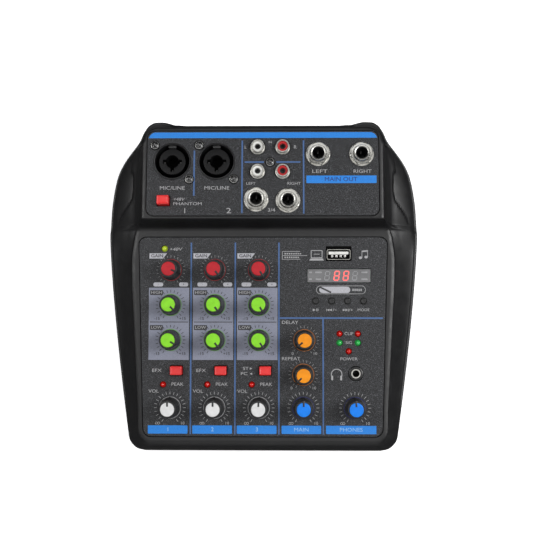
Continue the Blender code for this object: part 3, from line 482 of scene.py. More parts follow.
def make_finishes(colours):
    housing = moulded("housing_plastic", tuple(colours.housing), 0.42, 0.30, 0.03, 0.07)
    housing.relief(housing.noise(0.9, 3), 0.02, 0.25)
    # Painted highlight: lighter colour along the housing's sharp edges.
    housing.painted_edge_highlight(1.9)

    paint = Finish("panel_paint", tuple(colours.panel), 0.50, 0.25)
    speck = paint.noise(0.33, 1.5, 0.5)
    dark, mid = [c * 0.35 for c in colours.panel], [c * 0.9 for c in colours.panel]
    light, flake = [c * 2.0 for c in colours.panel], [c * 7.5 for c in colours.panel]
    stops = [(0.30, dark), (0.48, mid), (0.60, light), (0.70, flake)]
    paint.links.new(paint.ramp(speck, stops), paint.shader.inputs["Base Color"])
    paint.vary_roughness(paint.noise(0.5, 3), 0.12)
    paint.relief(speck, 0.03, 0.5)
    paint.relief(paint.noise(14, 2), 0.02, 0.15)

    moulded("knob_plastic", (0.010, 0.010, 0.011), 0.40, 0.5, 0.01, 0.08)
    grip = moulded("knob_grip", (0.028, 0.028, 0.029), 0.42, 0.5, 0.01, 0.08)
    # Painted highlight: lighter colour along the grip's sharp edges and ridges.
    grip.painted_edge_highlight(1.5)
    for key in ("red", "green", "white", "orange", "blue"):
        cap = moulded(f"cap_{key}", tuple(getattr(colours, f"cap_{key}")), 0.42, 0.25, 0.008, 0.05)
        cap.vary_colour(cap.noise(3, 3), 0.93, 1.06)
        cap.gloss(0.25)
    button = moulded("button_red", tuple(colours.button), 0.36, 0.3, 0.008, 0.06)
    # Painted highlight: lighter colour along the switch caps' edges.
    button.painted_edge_highlight(1.25)
    moulded("socket_black", (0.010, 0.010, 0.011), 0.40, 0.4, 0.012, 0.08)
    moulded("insert_grey", (0.006, 0.006, 0.0065), 0.50, 0.22, 0.015, 0.08).gloss(0.22)
    # Near-black with almost no gloss: painted shade for hole bottoms, the shadow round screw heads and the gap
    # round the flat socket.
    moulded("deep_black", (0.0015, 0.0015, 0.0015), 0.8, 0.3, 0.01, 0.05).gloss(0.08)
    moulded("bezel_black", (0.006, 0.006, 0.006), 0.5, 0.3, 0.01, 0.05)
    moulded("insulator_white", (0.80, 0.80, 0.77), 0.35, 0.5, 0.004, 0.06)
    moulded("insulator_red", (0.50, 0.012, 0.015), 0.35, 0.5, 0.004, 0.06)
    moulded("rubber_black", (0.016, 0.016, 0.016), 0.85, 0.25, 0.03, 0.08)
    moulded("cable_grey", (0.42, 0.42, 0.43), 0.55, 0.6, 0.01, 0.06)
    moulded("tongue_white", (0.85, 0.85, 0.82), 0.4, 0.5, 0.004, 0.05)
    plated("nickel", (0.62, 0.61, 0.57), 0.30)
    plated("nickel_dull", (0.52, 0.51, 0.49), 0.34)
    # Lit and shaded copies of one screw steel: the bright one paints the rim's highlight, the dark one paints shade
    # on the head.
    plated("screw_steel", (0.62, 0.62, 0.60), 0.38)
    plated("screw_dark", (0.13, 0.13, 0.13), 0.28)
    # A dark copy of the contact metal: painted shade on the pins, springs and cups deep inside the sockets.
    plated("pin_dark", (0.10, 0.10, 0.10), 0.5)

    board = Finish("board_green", (0.012, 0.11, 0.045), 0.38)
    traces = board.nodes.new("ShaderNodeTexBrick")
    traces.inputs["Scale"].default_value = 260
    traces.inputs["Mortar Size"].default_value = 0.06
    traces.inputs["Color1"].default_value = (0.010, 0.10, 0.04, 1)
    traces.inputs["Color2"].default_value = (0.014, 0.13, 0.05, 1)
    traces.inputs["Mortar"].default_value = (0.03, 0.22, 0.09, 1)
    board.links.new(board.place, traces.inputs["Vector"])
    board.links.new(traces.outputs["Color"], board.shader.inputs["Base Color"])
    board.vary_roughness(board.noise(4, 3), 0.08)
    board.relief(traces.outputs["Fac"], 0.03, 0.3)

    ink("ink_white", (0.42, 0.42, 0.43))
    ink("ink_blue", tuple(colours.stripe), 0.45)
    ink("ink_line", tuple(colours.line), 0.5)
    ink("ink_grey", tuple(colours.eq_box), 0.5)
    ink("ink_dark", (0.03, 0.03, 0.034))
    ink("ink_tag", (0.50, 0.50, 0.54))
    ink("ink_red", (0.35, 0.010, 0.015))
    ink("ink_green", (0.13, 0.42, 0.03))
    ink("ink_orange", (0.50, 0.15, 0.01))
    ink("ink_navy", (0.008, 0.012, 0.15))
    ink("ink_pale", (0.30, 0.55, 0.85))

    lens("lens_red", (0.62, 0.010, 0.006), 0.12)
    lens("lens_green", (0.03, 0.42, 0.08), 0.25)
    lens("lens_lime", (0.42, 0.55, 0.03), 0.30)
    lens("digit_red", (1.0, 0.10, 0.09), 1.1)

    window = moulded("window_grey", (0.16, 0.16, 0.165), 0.22, 0.8, 0.004, 0.06)
    window.shader.inputs["Coat Weight"].default_value = 0.5
    moulded("window_ghost", (0.30, 0.30, 0.31), 0.3, 0.5, 0.004, 0.05)


# ---------------------------------------------------------------- housing


def control_height(y):
    """Height of the control face, carried on past its ends."""
    return CONTROL.front[2] + (y - CONTROL.front[1]) * math.tan(CONTROL.slope)


def jack_height(y):
    """Height of the connector face, carried on past its ends."""
    return JACKS.front[2] + (y - JACKS.front[1]) * math.tan(JACKS.slope)


def side_outline(y):
    """Half the body's width at a depth: it widens in a long power curve, then closes in an ogee."""
    widest, widest_y = 86.15, 28
    if y <= widest_y:
        return widest - 0.0155 * (widest_y - y) ** 1.409
    ogee = [(28, 86.15), (43, 85.3), (52, 84.1), (61, 82.05), (68, 78.65), (74, 74.1), (79, 69.95), (84, 67.2)]
    return float(np.interp(y, *zip(*ogee)))


def block_half_width(y):
    """Half the raised block's width, at the crisp line where its rounded edge ends."""
    waist = [(12, 0.1), (18, 0.6), (22, 1.2), (25.5, 1.8), (28.6, 2.8), (30.2, 3.8), (31.1, 5.0), (32.5, 7.1)]
    return min(67.6 + 0.056 * (y + 83), 72.5) - float(np.interp(y, *zip(*waist)))


def edge_round(y):
    """Width of the block's rounded edge: broad beside the controls, narrow at the jacks."""
    return 2.3 - 0.8 * ease((y - 22) / 9)


def housing_stations():
    """Right-hand stations from front to back.

    Each holds the block's edge x and y, the outline's x and y, the edge's height, the rim's height and
    how much of the section is a wing.
    """
    jack_end = 82.2
    stations = []
    turn = np.radians(np.linspace(-90, 0, 5))
    for k, a in enumerate(turn):
        edge = (60.2 + 5.5 * math.cos(a), -79.0 + 5.5 * math.sin(a))
        outer = (64.7 + 10.1 * math.cos(a), -80.2 + 10.1 * math.sin(a))
        stations.append((*edge, *outer, control_height(edge[1]), 14.5, k / 8))
    for y in (-70, -55, -40, -20, 0, 12, 18, 22, 25.5, 28.6):
        edge, rim = block_half_width(y) - edge_round(y), 14.5 + 14.5 * ((y + 90) / 115) ** 1.3
        stations.append((edge, y, side_outline(y), y, control_height(y), rim, min(1, 0.5 + (y + 79) / 40)))
    for y, z in ((30.2, 39.2), (31.1, 42.5), (31.9, 48.8), (32.5, 50.4)):
        edge = block_half_width(y) - edge_round(y)
        stations.append((edge, y, side_outline(y), y, min(z, jack_height(y)), 29.4, 1))
    for y, rim in ((42, 31), (52, 32.6), (61, 34), (68, 35.5), (74, 37.5)):
        stations.append((63.9, y, side_outline(y), y, jack_height(y), rim, 1))
    lobe = [(69.55, 79.7), (66.9, 84.9), (63.9, 88.6), (60.2, 90.1)]
    for a, outer, rim in zip(np.radians(np.linspace(15, 90, 4)), lobe, (39.5, 41, 42, 42.5)):
        edge = (57.4 + 6.5 * math.cos(a), 75.7 + 6.5 * math.sin(a))
        stations.append((*edge, *outer, jack_height(edge[1]), rim, 1))
    for x, outer, rim in ((54, (56.4, 90.2), 42.5), (51.6, (52.8, 89.5), 42.5), (49, (49.6, 88.2), 43.5)):
        stations.append((x, jack_end, *outer, jack_height(jack_end), rim, 1))
    stations.append((46, jack_end, 46.2, 86.3, jack_height(jack_end), 47.5, 0.4))
    stations.append((42, jack_end, 42, 85.1, jack_height(jack_end), 50, 0))
    return np.array(stations)


def scoop(share, y, end):
    """The leaf-shaped hollow in each arm, in mm: a crisp step at its inner edge that fades towards the rim."""
    leaf = [
        (34, 0.76), (35.4, 0.73), (40, 0.60), (43, 0.49), (46, 0.40), (51, 0.37), (59.5, 0.42), (63, 0.53),
        (68, 0.60), (72, 0.66), (75, 0.78),
    ]
    inner = smooth_curve(*zip(*leaf), np.clip(y.ravel(), 34, 75))[:, None]
    depth = 1.9 * np.sin(np.pi * np.clip((y - 33.5) / 42, 0, 1)) ** 0.4
    run = (share - inner) / (end - inner + 1e-6)
    return depth * ease(run / 0.09) * np.clip(1 - run, 0, 1) ** 0.8


def shaped(knots, x):
    """The smooth curve through (x, y) knots, read over a whole array."""
    return smooth_curve(*zip(*knots), x.ravel()).reshape(x.shape)


def wing_section(y, width, top, rim, count=64):
    """Shares across a wing and its heights, as arrays.

    A rounded edge ends in a crisp line. Past it lies the arm, whose own height at its inner end is a
    smooth curve along the console: almost straight across beside the controls, a bulge that steepens
    outwards at the jacks. Where the block stands higher than the arm a concave wall joins them.
    A strip 2 mm wide flattens into the rim and rounds over at the outline.
    """
    crisp, strip = np.minimum(edge_round(y) / width, 0.3), np.minimum(2.0 / width, 0.25)
    lines = np.linspace(0, 1, count)[None, :]
    span = 1 - strip - crisp
    share = np.hstack([crisp * lines[:, :-1:6], crisp + span * lines, 1 - strip * (1 - lines[:, 3::3])])
    run = np.clip((share - crisp) / span, 0, 1)
    straight = 0.1 * ease(run / 0.06) + 0.9 * (1 - (1 - run) ** 1.15)
    bulge = shaped([
        (0, 0), (0.22, 0.13), (0.38, 0.27), (0.50, 0.36), (0.65, 0.50), (0.80, 0.67), (0.92, 0.84), (1, 1),
    ], run)
    wall = shaped([(0, 1), (0.06, 0.62), (0.14, 0.27), (0.22, 0.09), (0.32, 0), (1, 0)], run)
    fall = straight + ease((y - 16) / 22) * (bulge - straight)
    round_drop = 0.2 * edge_round(y)
    block = top - round_drop
    arm = shaped([
        (-90, 12.2), (10, 34.6), (18, 35.8), (25, 37.0), (32, 39.3), (42, 42.3), (60, 44.6), (85, 46.5),
    ], y)
    arm = np.where(y < 10, block, np.minimum(arm, block))
    height = rim + 0.75 + (arm - rim - 0.75) * (1 - fall) + (block - arm) * wall
    height = np.where(share < crisp, top - round_drop * (share / crisp) ** 2, height)
    height = height - scoop(share, y, 1 - strip)
    from_outline = 2 * np.clip((1 - share) / strip, 0, 1)
    rim_line = shaped([
        (0, -1.1), (0.12, -0.55), (0.3, -0.2), (0.6, 0), (1.0, 0.05), (1.3, 0.18), (1.6, 0.4), (2.0, 0.75),
    ], from_outline)
    return share, np.where(share > 1 - strip, rim + rim_line, height)


def housing_shape():
    """Outer and inner section paths carried round the console's edge, mirrored, with flat decks between.

    Where there is a wing its section is used; elsewhere it is a quarter of an ellipse. At the rear
    corners the arm ends as a ledge that dips a little inside its rim.
    """
    coarse = housing_stations()
    corner, arm, step, jacks, rear = (
        [5] * 4, [6, 12, 12, 16, 16, 10, 6, 4, 4, 4], [4, 4, 6, 6], [8, 8, 8, 7, 6], [5, 6, 6, 6, 5, 4, 4, 5, 6]
    )
    counts = corner + arm + step + jacks + rear
    index = np.concatenate([k + np.arange(n) / n for k, n in enumerate(counts)] + [[len(coarse) - 1]])
    st = smooth_curve(np.arange(len(coarse)), coarse, index)
    edge, outer, top, rim, share = st[:, :2], st[:, 2:4], st[:, 4:5], st[:, 5:6], st[:, 6:7]
    width = np.maximum(np.linalg.norm(outer - edge, axis=1, keepdims=True), 1.0)
    shares, wing = wing_section(outer[:, 1:], width, top, rim)
    ledge = top - (top - rim + 0.5) * (1 - np.sqrt(np.clip(1 - (shares / 0.42) ** 2, 0, 1)))
    ledge = np.where(shares > 0.42, rim - 0.5 + 0.9 * ease((shares - 0.55) / 0.35), ledge)
    ledge = np.where(shares > 1 - np.minimum(1.2 / width, 0.2), np.minimum(ledge, wing), ledge)
    behind = ease((outer[:, 1:] - 74) / 5)
    wing = wing * (1 - behind) + ledge * behind
    ellipse = rim - 1.1 + (top - rim + 1.1) * np.sqrt(np.clip(1 - shares**2, 0, 1))
    height = share * wing + (1 - share) * ellipse
    across = edge[:, None, :] + (outer - edge)[:, None, :] * shares[:, :, None]
    outside = np.concatenate([across, height[:, :, None]], -1)
    inward = (edge - outer) / np.linalg.norm(edge - outer, axis=1, keepdims=True)

    def level(flat, z):
        return np.concatenate([flat, z], -1)[:, None, :]

    foot = edge * 0.89 + outer * 0.11 + inward * 2.2
    ceiling = rim - 4.2
    rows = [outside]
    for fall in (0.35, 0.7, 1.0):
        rows.append(level(outer + inward * 1.2 * fall, (rim - 1.1) * (1 - fall) + 5.0 * fall))
    rows += [
        level(outer + inward * 3.5, np.full_like(rim, 5.0)), level(outer + inward * 2.3, ceiling),
        level(foot - inward * 0.6, ceiling), level(foot, ceiling + 0.1 * (top - ceiling)),
        level(edge + inward * 2.2, top - 2.6),
    ]
    right = np.concatenate(rows, 1)
    rings, cols = right.shape[:2]
    left = right[::-1] * [-1, 1, 1]
    points = np.vstack([right.reshape(-1, 3), left.reshape(-1, 3)])
    faces = grid_faces(2 * rings, cols, close_rows=True, close_cols=False).tolist()
    start = sum(corner + arm)
    end = start + sum(step)
    for column in (0, cols - 1):
        near = np.arange(rings) * cols + column
        far = (2 * rings - 1 - np.arange(rings)) * cols + column
        faces.append(near[:start + 1].tolist() + far[:start + 1][::-1].tolist())
        strip = [near[start:end], near[start + 1:end + 1], far[start + 1:end + 1], far[start:end]]
        faces += np.stack(strip, -1).tolist()
        faces.append(near[end:].tolist() + far[end:][::-1].tolist())
    return points, faces


def control_outline(inset):
    """The control panel's outline, drawn in by an inset: a trapezoid with round corners."""
    front, back = CONTROL_FRONT_HALF - inset, CONTROL_BACK_HALF - inset
    length = CONTROL_LENGTH - 2 * inset
    base = rounded_rectangle(2, length, PANEL_CORNER - inset / 2, 8, (0, CONTROL_LENGTH / 2))
    share = (base[:, 1] - inset) / length
    side = np.where(np.arange(len(base)) < len(base) / 2, 1, -1)
    base[:, 0] = base[:, 0] + side * (front + (back - front) * share - 1)
    return base


def jacks_outline(inset):
    """The connector panel's outline, drawn in by an inset: a rectangle with round corners."""
    size = (2 * (JACKS_HALF - inset), JACKS_LENGTH - 2 * inset)
    return rounded_rectangle(*size, PANEL_CORNER - inset / 2, 8, (0, JACKS_LENGTH / 2))


def cut(obj, cutters):
    """Takes the cutters out of a piece and keeps only its finished mesh."""
    made = []
    for k, mesh in enumerate(cutters):
        cutter = bpy.data.objects.new(f"cutter_{k}", mesh)
        bpy.context.scene.collection.objects.link(cutter)
        made.append(cutter)
        boolean = obj.modifiers.new(f"cut_{k}", "BOOLEAN")
        boolean.solver = "EXACT"
        boolean.object = cutter
    bpy.context.view_layer.update()
    mesh = bpy.data.meshes.new_from_object(obj.evaluated_get(bpy.context.evaluated_depsgraph_get()))
    obj.modifiers.clear()
    obj.data = mesh
    for cutter in made:
        bpy.data.objects.remove(cutter)
    return mesh


class CONSOLE_OT_housing(bpy.types.Operator):
    """Builds the upper shell with its arms, scoops and panel recesses"""

    bl_idname = "console.housing"
    bl_label = "Housing"

    def execute(self, context):
        cutters = []
        for panel, outline in ((CONTROL, control_outline), (JACKS, jacks_outline)):
            levels = [(-0.5, 3.0), (-0.3, 0.05), (0.0, -0.3), (0.0, -RECESS_DEPTH)]
            recess = stack([outline(inset) for inset, _ in levels], [z for _, z in levels])
            opening = stack([outline(2.0)] * 2, [0.5, -4.5])
            for points, faces in (recess, opening):
                cutters.append(mesh_from("cutter", (panel.place(points), faces)))
        middle = node_box("usb_b_port")[2]
        socket = rounded_rectangle(13.0, 12.2, 0.8)
        points, faces = stack([socket, socket], [6.0, -6.0])
        points = np.stack([points[:, 0] + middle[0], 84.5 + points[:, 2], points[:, 1] + middle[2]], -1)
        cutters.append(mesh_from("cutter", (points, faces)))
        mesh = mesh_from("housing_shell", housing_shape())
        obj = put_mesh("housing_shell", mesh, "housing_plastic", stands_for=("top_housing",))
        shade(cut(obj, cutters), 34)
        return {"FINISHED"}


# ---------------------------------------------------------------- panels and printing


class CONSOLE_OT_panels(bpy.types.Operator):
    """Builds the two face plates with their round and square holes"""

    bl_idname = "console.panels"
    bl_label = "Panels"

    def execute(self, context):
        switch_hole = (7.4, 5.8, 0.4, 3)
        holes = [circle(3.9, 32, knob_place(name)) for name in KNOBS]
        holes += [rounded_rectangle(*switch_hole, CONTROL.find(name)) for name in SWITCHES]
        holes += [circle(2.15, 32, CONTROL.find(name)) for name in MEDIA_BUTTONS]
        holes += [circle(1.85, 24, place) for place in led_places().values()]
        holes += [circle(4.2, 40, CONTROL.find("headphone_jack"))]
        holes += [rounded_rectangle(14.3, 7.2, 0.5, 3, CONTROL.find("usb_a_port"))]
        holes += [rounded_rectangle(35.2, 7.9, 0.3, 3, CONTROL.find("display_window"))]
        plate = filled("control_plate", [control_outline(0.3)] + holes, 0, -1.2)
        put("control_plate", plate, "panel_paint", CONTROL, stands_for=("control_panel",))

        holes = [circle(10.3, 64, JACKS.find(name)) for name in COMBOS]
        holes += [circle(1.6, 16, JACKS.find(name)) for name in SCREWS]
        holes += [circle(4.5, 32, place) for place in rca_places()]
        holes += [circle(4.9, 32, JACKS.find(name)) for name in PHONE_JACKS]
        holes += [rounded_rectangle(*switch_hole, JACKS.find("phantom_switch"))]
        plate = filled("jack_plate", [jacks_outline(0.3)] + holes, 0, -1.2)
        put("jack_plate", plate, "panel_paint", JACKS, stands_for=("jack_panel",))
        return {"FINISHED"}


def rca_places():
    """The four phono sockets: left then right, back row first."""
    x, y = JACKS.find("rca_block")
    return [(x + sx * 6.8, y + sy * 6.8) for sy in (1, -1) for sx in (-1, 1)]


def led_places():
    """Across and along for every lamp; the five beside the media section stand in rows."""
    places = {name: CONTROL.find(name) for name in PEAK_LEDS + ["phantom_led"]}
    places["power_led"] = (METER_X, METER_ROWS[0])
    for row, kind in ((1, "signal"), (2, "clip")):
        for side, word in ((-1, "left"), (1, "right")):
            places[f"{kind}_led_{word}"] = (METER_X + side * METER_HALF, METER_ROWS[row])
    return places


def bar(x0, y0, x1, y1, top=0.03, corner=0.0):
    """A flat printed bar between two corners."""
    if corner:
        outline = rounded_rectangle(x1 - x0, y1 - y0, corner, 4, ((x0 + x1) / 2, (y0 + y1) / 2))
    else:
        outline = np.array([(x0, y0), (x1, y0), (x1, y1), (x0, y1)])
    return slab(outline, top, INK_ROOT)


def stroke(start, end, width=0.25, top=INK_TOP):
    """A straight printed line of a width."""
    a, b = np.array(start, float), np.array(end, float)
    side = np.array([-(b - a)[1], (b - a)[0]]) / np.linalg.norm(b - a) * width / 2
    return slab(np.array([a - side, b - side, b + side, a + side]), top, INK_ROOT)


def ring(centre, radius, width=0.3, top=INK_TOP, start=0.0, end=TAU, sides=48):
    """A printed circle or arc of a width."""
    if end - start < TAU - 1e-6:
        outer, inner = (circle(radius + side * width / 2, sides, centre, start, end) for side in (1, -1))
        return slab(np.vstack([outer, inner[::-1]]), top, INK_ROOT)
    outer, inner = (circle(radius + side * width / 2, sides, centre) for side in (1, -1))
    return band(inner, outer, top, INK_ROOT)


def ticks(centre, inner, outer, count, reach=150, width=0.22, top=INK_TOP):
    """Radial ticks from -reach to +reach degrees about straight back."""
    shapes = []
    for angle in np.radians(np.linspace(-reach, reach, count)):
        out = np.array([math.sin(angle), math.cos(angle)])
        shapes.append(stroke(np.add(centre, out * inner), np.add(centre, out * outer), width, top))
    return shapes


def infinity(x, y, size=0.75):
    """The infinity sign, as two small rings side by side."""
    return [ring((x + side * size * 0.8, y), size * 0.8, 0.22, sides=20) for side in (-1, 1)]


def arrow(x, y, size, direction=1):
    """A small solid triangle that points right or left."""
    d = direction * size
    return slab(np.array([(x - d / 2, y - size / 2), (x + d / 2, y), (x - d / 2, y + size / 2)]), INK_TOP, INK_ROOT)


class CONSOLE_OT_printing(bpy.types.Operator):
    """Prints the scales, boxes, rules, numbers and plain function words on both panels"""

    bl_idname = "console.printing"
    bl_label = "Printing"

    def execute(self, context):
        self.control_panel()
        self.jack_panel()
        return {"FINISHED"}

    def control_panel(self):
        white, dark, grey, tag, line, blue, pale = [], [], [], [], [], [], []
        rings = {key: [] for key in ("red", "green", "orange", "navy")}
        rows = {name: knob_place(name)[1] for name in ("high_knob_1", "low_knob_1")}
        for k, x in enumerate(COLUMNS[:3]):
            grey.append(bar(x - 12.0, 41.7, x + 10.2, 81.3))
            dark.append(bar(x - 11.4, 62.2, x + 9.7, 62.65, 0.045))
            for name, row in (("HIGH", rows["high_knob_1"]), ("LOW", rows["low_knob_1"])):
                y = row + 6.8
                dark.append(bar(x - 11.4, y - 1.35, x - 4.2, y + 1.35, 0.045, 0.35))
                white.append(lettering(name, x - 7.8, y, 1.55, top=0.065, squeeze=1.15))
                for mark, mx in (("-15", x - 7.4), ("+15", x + 6.6)):
                    dark.append(lettering(mark, mx, row - 7.5, 1.5, top=0.045, squeeze=1.1, weight=0.03))
            gain = np.array([(x - 11.9, 97.4), (x - 4.4, 97.4), (x - 2.2, 100.3), (x - 11.9, 100.3)])
            tag.append(slab(gain, 0.03, INK_ROOT))
            dark.append(lettering("GAIN", x - 7.6, 98.85, 1.75, top=0.045, squeeze=1.1, weight=0.05))
            tag += [bar(x - 9.6, 82.0, x - 4.2, 84.2, 0.03, 0.9), bar(x + 4.6, 82.0, x + 9.6, 84.2, 0.03, 0.9)]
            dark += [lettering(sign, x + dx, 83.1, 1.3, top=0.045) for sign, dx in (("-", -6.9), ("+", 7.1))]
            white.append(lettering("VOL", x - 9.0, 24.6, 1.75, squeeze=1.15))
            white.append(lettering("PEAK", x + 4.0, 28.4, 1.75, squeeze=1.15))
            if k < 2:
                white.append(lettering("EFX", x - 7.4, 35.9, 1.7, squeeze=1.3))
            blue.append(bar(x - 12.0, 1.6, x + 9.7, 6.1, corner=0.4))
            pale.append(lettering(str(k + 1), x - 1.0, 3.85, 2.1, top=0.05, weight=0.03))
        white += [lettering("ST", -9.3, 37.0, 1.6, squeeze=1.3), arrow(-6.4, 37.0, 1.3)]
        white += [lettering("PC", -10.2, 34.2, 1.6, squeeze=1.4), arrow(-6.4, 34.2, 1.3, -1)]
        for x0, x1, word in ((10.3, 31.9, "MAIN"), (34.5, 61.9, "PHONES")):
            blue.append(bar(x0, 1.6, x1, 6.1, corner=0.4))
            pale.append(lettering(word, (x0 + x1) / 2, 3.85, 2.0, top=0.05, squeeze=1.15))
        for x in (-39.5, -15.2, 8.85):
            line.append(bar(x - 0.4, 1.3, x + 0.4, 106.2, 0.035))
        line += [bar(32.65, 1.3, 33.45, 64.2, 0.035), bar(9.3, 64.2, 65.9, 65.1, 0.036)]
        for name, (colour, _) in KNOBS.items():
            centre = knob_place(name)
            around = white if colour == "white" else rings[{"blue": "navy"}.get(colour, colour)]
            around.append(ring(centre, 5.88, 0.3, 0.05))
            if colour == "green":
                dark += ticks(centre, 6.9, 8.3, 21, width=0.34, top=0.045)
            elif colour in ("white", "blue"):
                white += ticks(centre, 7.2, 8.7, 21, width=0.26)
                white += infinity(centre[0] - 6.7, centre[1] - 8.4)
                white.append(lettering("10", centre[0] + 6.9, centre[1] - 8.4, 1.5, squeeze=1.1))
            else:
                white += ticks(centre, 6.9, 8.1, 21, width=0.16)
                if colour == "orange":
                    white.append(lettering("0", centre[0] - 6.4, centre[1] - 7.3, 1.5, squeeze=1.1))
                    white.append(lettering("10", centre[0] + 5.9, centre[1] - 7.3, 1.5, squeeze=1.1))
        white += [
            lettering("DELAY", 10.3, 62.2, 1.75, "LEFT", squeeze=1.2),
            lettering("REPEAT", 10.3, 42.4, 1.75, "LEFT", squeeze=1.2),
            lettering("CLIP", METER_X, METER_ROWS[2], 1.6, squeeze=1.1),
            lettering("SIG", METER_X, METER_ROWS[1], 1.6, squeeze=1.1),
            lettering("POWER", METER_X, 42.3, 1.6, squeeze=1.2),
            lettering("+48V", -48.3, 102.5, 1.7, lean=0.2, squeeze=1.3),
        ]
        white += self.media_symbols() + self.headphone_symbol(40.4, 33.9) + self.computer_symbol(29.6, 99.2)
        white += self.bracket_symbol() + self.note_symbol(55.3, 99.4)
        tag.append(bar(31.0, 78.4, 48.0, 81.9, 0.04, 1.7))
        pill_inner = rounded_rectangle(26.6, 4.1, 2.0, 8, (42.9, 80.15))
        pill_outer = rounded_rectangle(27.1, 4.6, 2.25, 8, (42.9, 80.15))
        white.append(band(pill_inner, pill_outer, INK_TOP, INK_ROOT))
        white += [bar(49.2 + 1.1 * k, 79.5, 49.9 + 1.1 * k, 80.8) for k in range(5)]
        dark += [stroke((31.5, 81.6), (37.5, 78.7), 0.9, 0.055)]
        for key, shapes, finish in (
            ("white", white, "ink_white"), ("dark", dark, "ink_dark"), ("grey", grey, "ink_grey"),
            ("tag", tag, "ink_tag"), ("line", line, "ink_line"), ("blue", blue, "ink_blue"),
            ("pale", pale, "ink_pale"),
        ):
            put(f"control_print_{key}", joined(*shapes), finish, CONTROL)
        for key, shapes in rings.items():
            put(f"control_ring_{key}", joined(*shapes), f"ink_{key}", CONTROL)

    def bracket_symbol(self):
        """Thin rules on an upright, with two rows of short dashes between them."""
        rules = [bar(10.6, 98.9, 24.4, 99.15), bar(10.6, 101.2, 20.6, 101.45), bar(10.6, 96.9, 20.6, 97.15)]
        upright = bar(10.6, 96.9, 10.85, 101.45)
        dashes = []
        for y, count in ((99.7, 8), (97.7, 7)):
            dashes += [bar(11.9 + 1.2 * k, y, 12.7 + 1.2 * k, y + 0.7) for k in range(count)]
        return [*rules, upright, *dashes]

    def media_symbols(self):
        """Play and pause, skip back and minus, skip on and plus, and a word, one below each button."""
        places = [CONTROL.find(name) for name in MEDIA_BUTTONS]
        x, y = places[0][0], places[0][1] - 4.9
        shapes = [arrow(x - 0.8, y, 1.5)]
        shapes += [bar(x + left, y - 0.75, x + left + 0.35, y + 0.75) for left in (0.4, 1.1)]
        for place, direction in ((places[1], -1), (places[2], 1)):
            x = place[0]
            shapes += [arrow(x - 1.9, y, 1.4, direction), arrow(x - 0.5, y, 1.4, direction)]
            edge = x - 1.9 + (-0.9 if direction < 0 else 2.3)
            shapes.append(bar(edge - 0.15, y - 0.7, edge + 0.15, y + 0.7))
            shapes.append(stroke((x + 0.7, y - 0.8), (x + 1.4, y + 0.8), 0.2))
            shapes.append(bar(x + 1.7, y - 0.12, x + 2.8, y + 0.12))
            if direction > 0:
                shapes.append(bar(x + 2.13, y - 0.55, x + 2.37, y + 0.55))
        shapes.append(lettering("MODE", places[3][0], y, 1.4, squeeze=1.15))
        return shapes

    def headphone_symbol(self, x, y):
        """A bow over two ear pads."""
        band_arc = ring((x, y), 2.9, 0.42, start=math.radians(-20), end=math.radians(200), sides=28)
        pad = rounded_rectangle(1.0, 2.6, 0.45, 4)
        pads = [slab(pad + [x + side * 2.45, y - 1.9], INK_TOP, INK_ROOT) for side in (-1, 1)]
        return [band_arc, *pads]

    def computer_symbol(self, x, y):
        """A folding computer: a framed screen with a line on it, over a tapered base."""
        outer = rounded_rectangle(6.4, 4.4, 0.5, 4, (x, y + 0.6))
        inner = rounded_rectangle(5.6, 3.6, 0.3, 4, (x, y + 0.6))
        base = np.array([(x - 4.1, y - 2.9), (x + 4.1, y - 2.9), (x + 3.3, y - 1.8), (x - 3.3, y - 1.8)])
        written = stroke((x - 1.6, y + 0.6), (x + 1.6, y + 0.6), 0.3)
        return [band(inner, outer, INK_TOP, INK_ROOT), slab(base, INK_TOP, INK_ROOT), written]

    def note_symbol(self, x, y):
        """Two notes under one beam."""
        head = circle(0.95, 20) * [1, 0.75]
        heads = [slab(head + [x + dx, y + dy], INK_TOP, INK_ROOT) for dx, dy in ((-1.6, -1.6), (1.5, -1.2))]
        feet = [np.array([x - 0.8, y - 1.5]), np.array([x + 2.3, y - 1.1])]
        stems = [stroke(foot, foot + [0, 3.5], 0.3) for foot in feet]
        return heads + stems + [stroke((x - 0.95, y + 1.9), (x + 2.45, y + 2.3), 0.8)]

    def jack_panel(self):
        white, line, blue, dark = [], [], [], []
        margin, stripe_front = 0.9, 43.4
        edge = jacks_outline(margin)
        corner = JACKS_HALF - margin
        stripe = np.vstack([[corner, stripe_front], edge[edge[:, 1] > 43.9], [-corner, stripe_front]])
        blue.append(filled("stripe", [stripe], 0.03, INK_ROOT))
        for name in COMBOS:
            cx, cy = JACKS.find(name)
            white.append(lettering("MIC/LINE", cx + 0.3, cy - 15.0, 1.9, squeeze=1.25))
        white += [
            lettering("+48V", -48.6, 9.2, 1.6, "LEFT", 0.2, squeeze=1.2),
            lettering("PHANTOM", -48.6, 6.7, 1.6, "LEFT", squeeze=1.4),
            lettering("1", -42.1, 2.8, 2.9), lettering("2", -18.3, 2.8, 2.9, squeeze=1.4),
            lettering("L", -9.4, 38.2, 1.7), lettering("R", 17.7, 38.2, 1.8),
            lettering("IN", 4.1, 41.0, 1.3), lettering("LEFT", -6.4, 17.9, 1.45, squeeze=1.2),
            lettering("RIGHT", 17.0, 17.9, 1.45, squeeze=1.2), lettering("3/4", 4.8, 3.2, 1.9, squeeze=1.2),
            lettering("LEFT", 31.0, 24.6, 1.9, squeeze=1.5), lettering("RIGHT", 54.2, 24.6, 1.9, squeeze=1.25),
        ]
        line += [bar(-37.7, 11.2, -36.9, 36.4, 0.035), bar(-11.55, 1.5, -10.75, 42.0, 0.035),
                 bar(21.9, 1.3, 22.7, 42.0, 0.035)]
        sx, sy = JACKS.find("rca_screw")
        line += [bar(-9.8, sy - 0.4, sx - 3.4, sy + 0.4, 0.036), bar(sx + 3.4, sy - 0.4, 20.6, sy + 0.4, 0.036)]
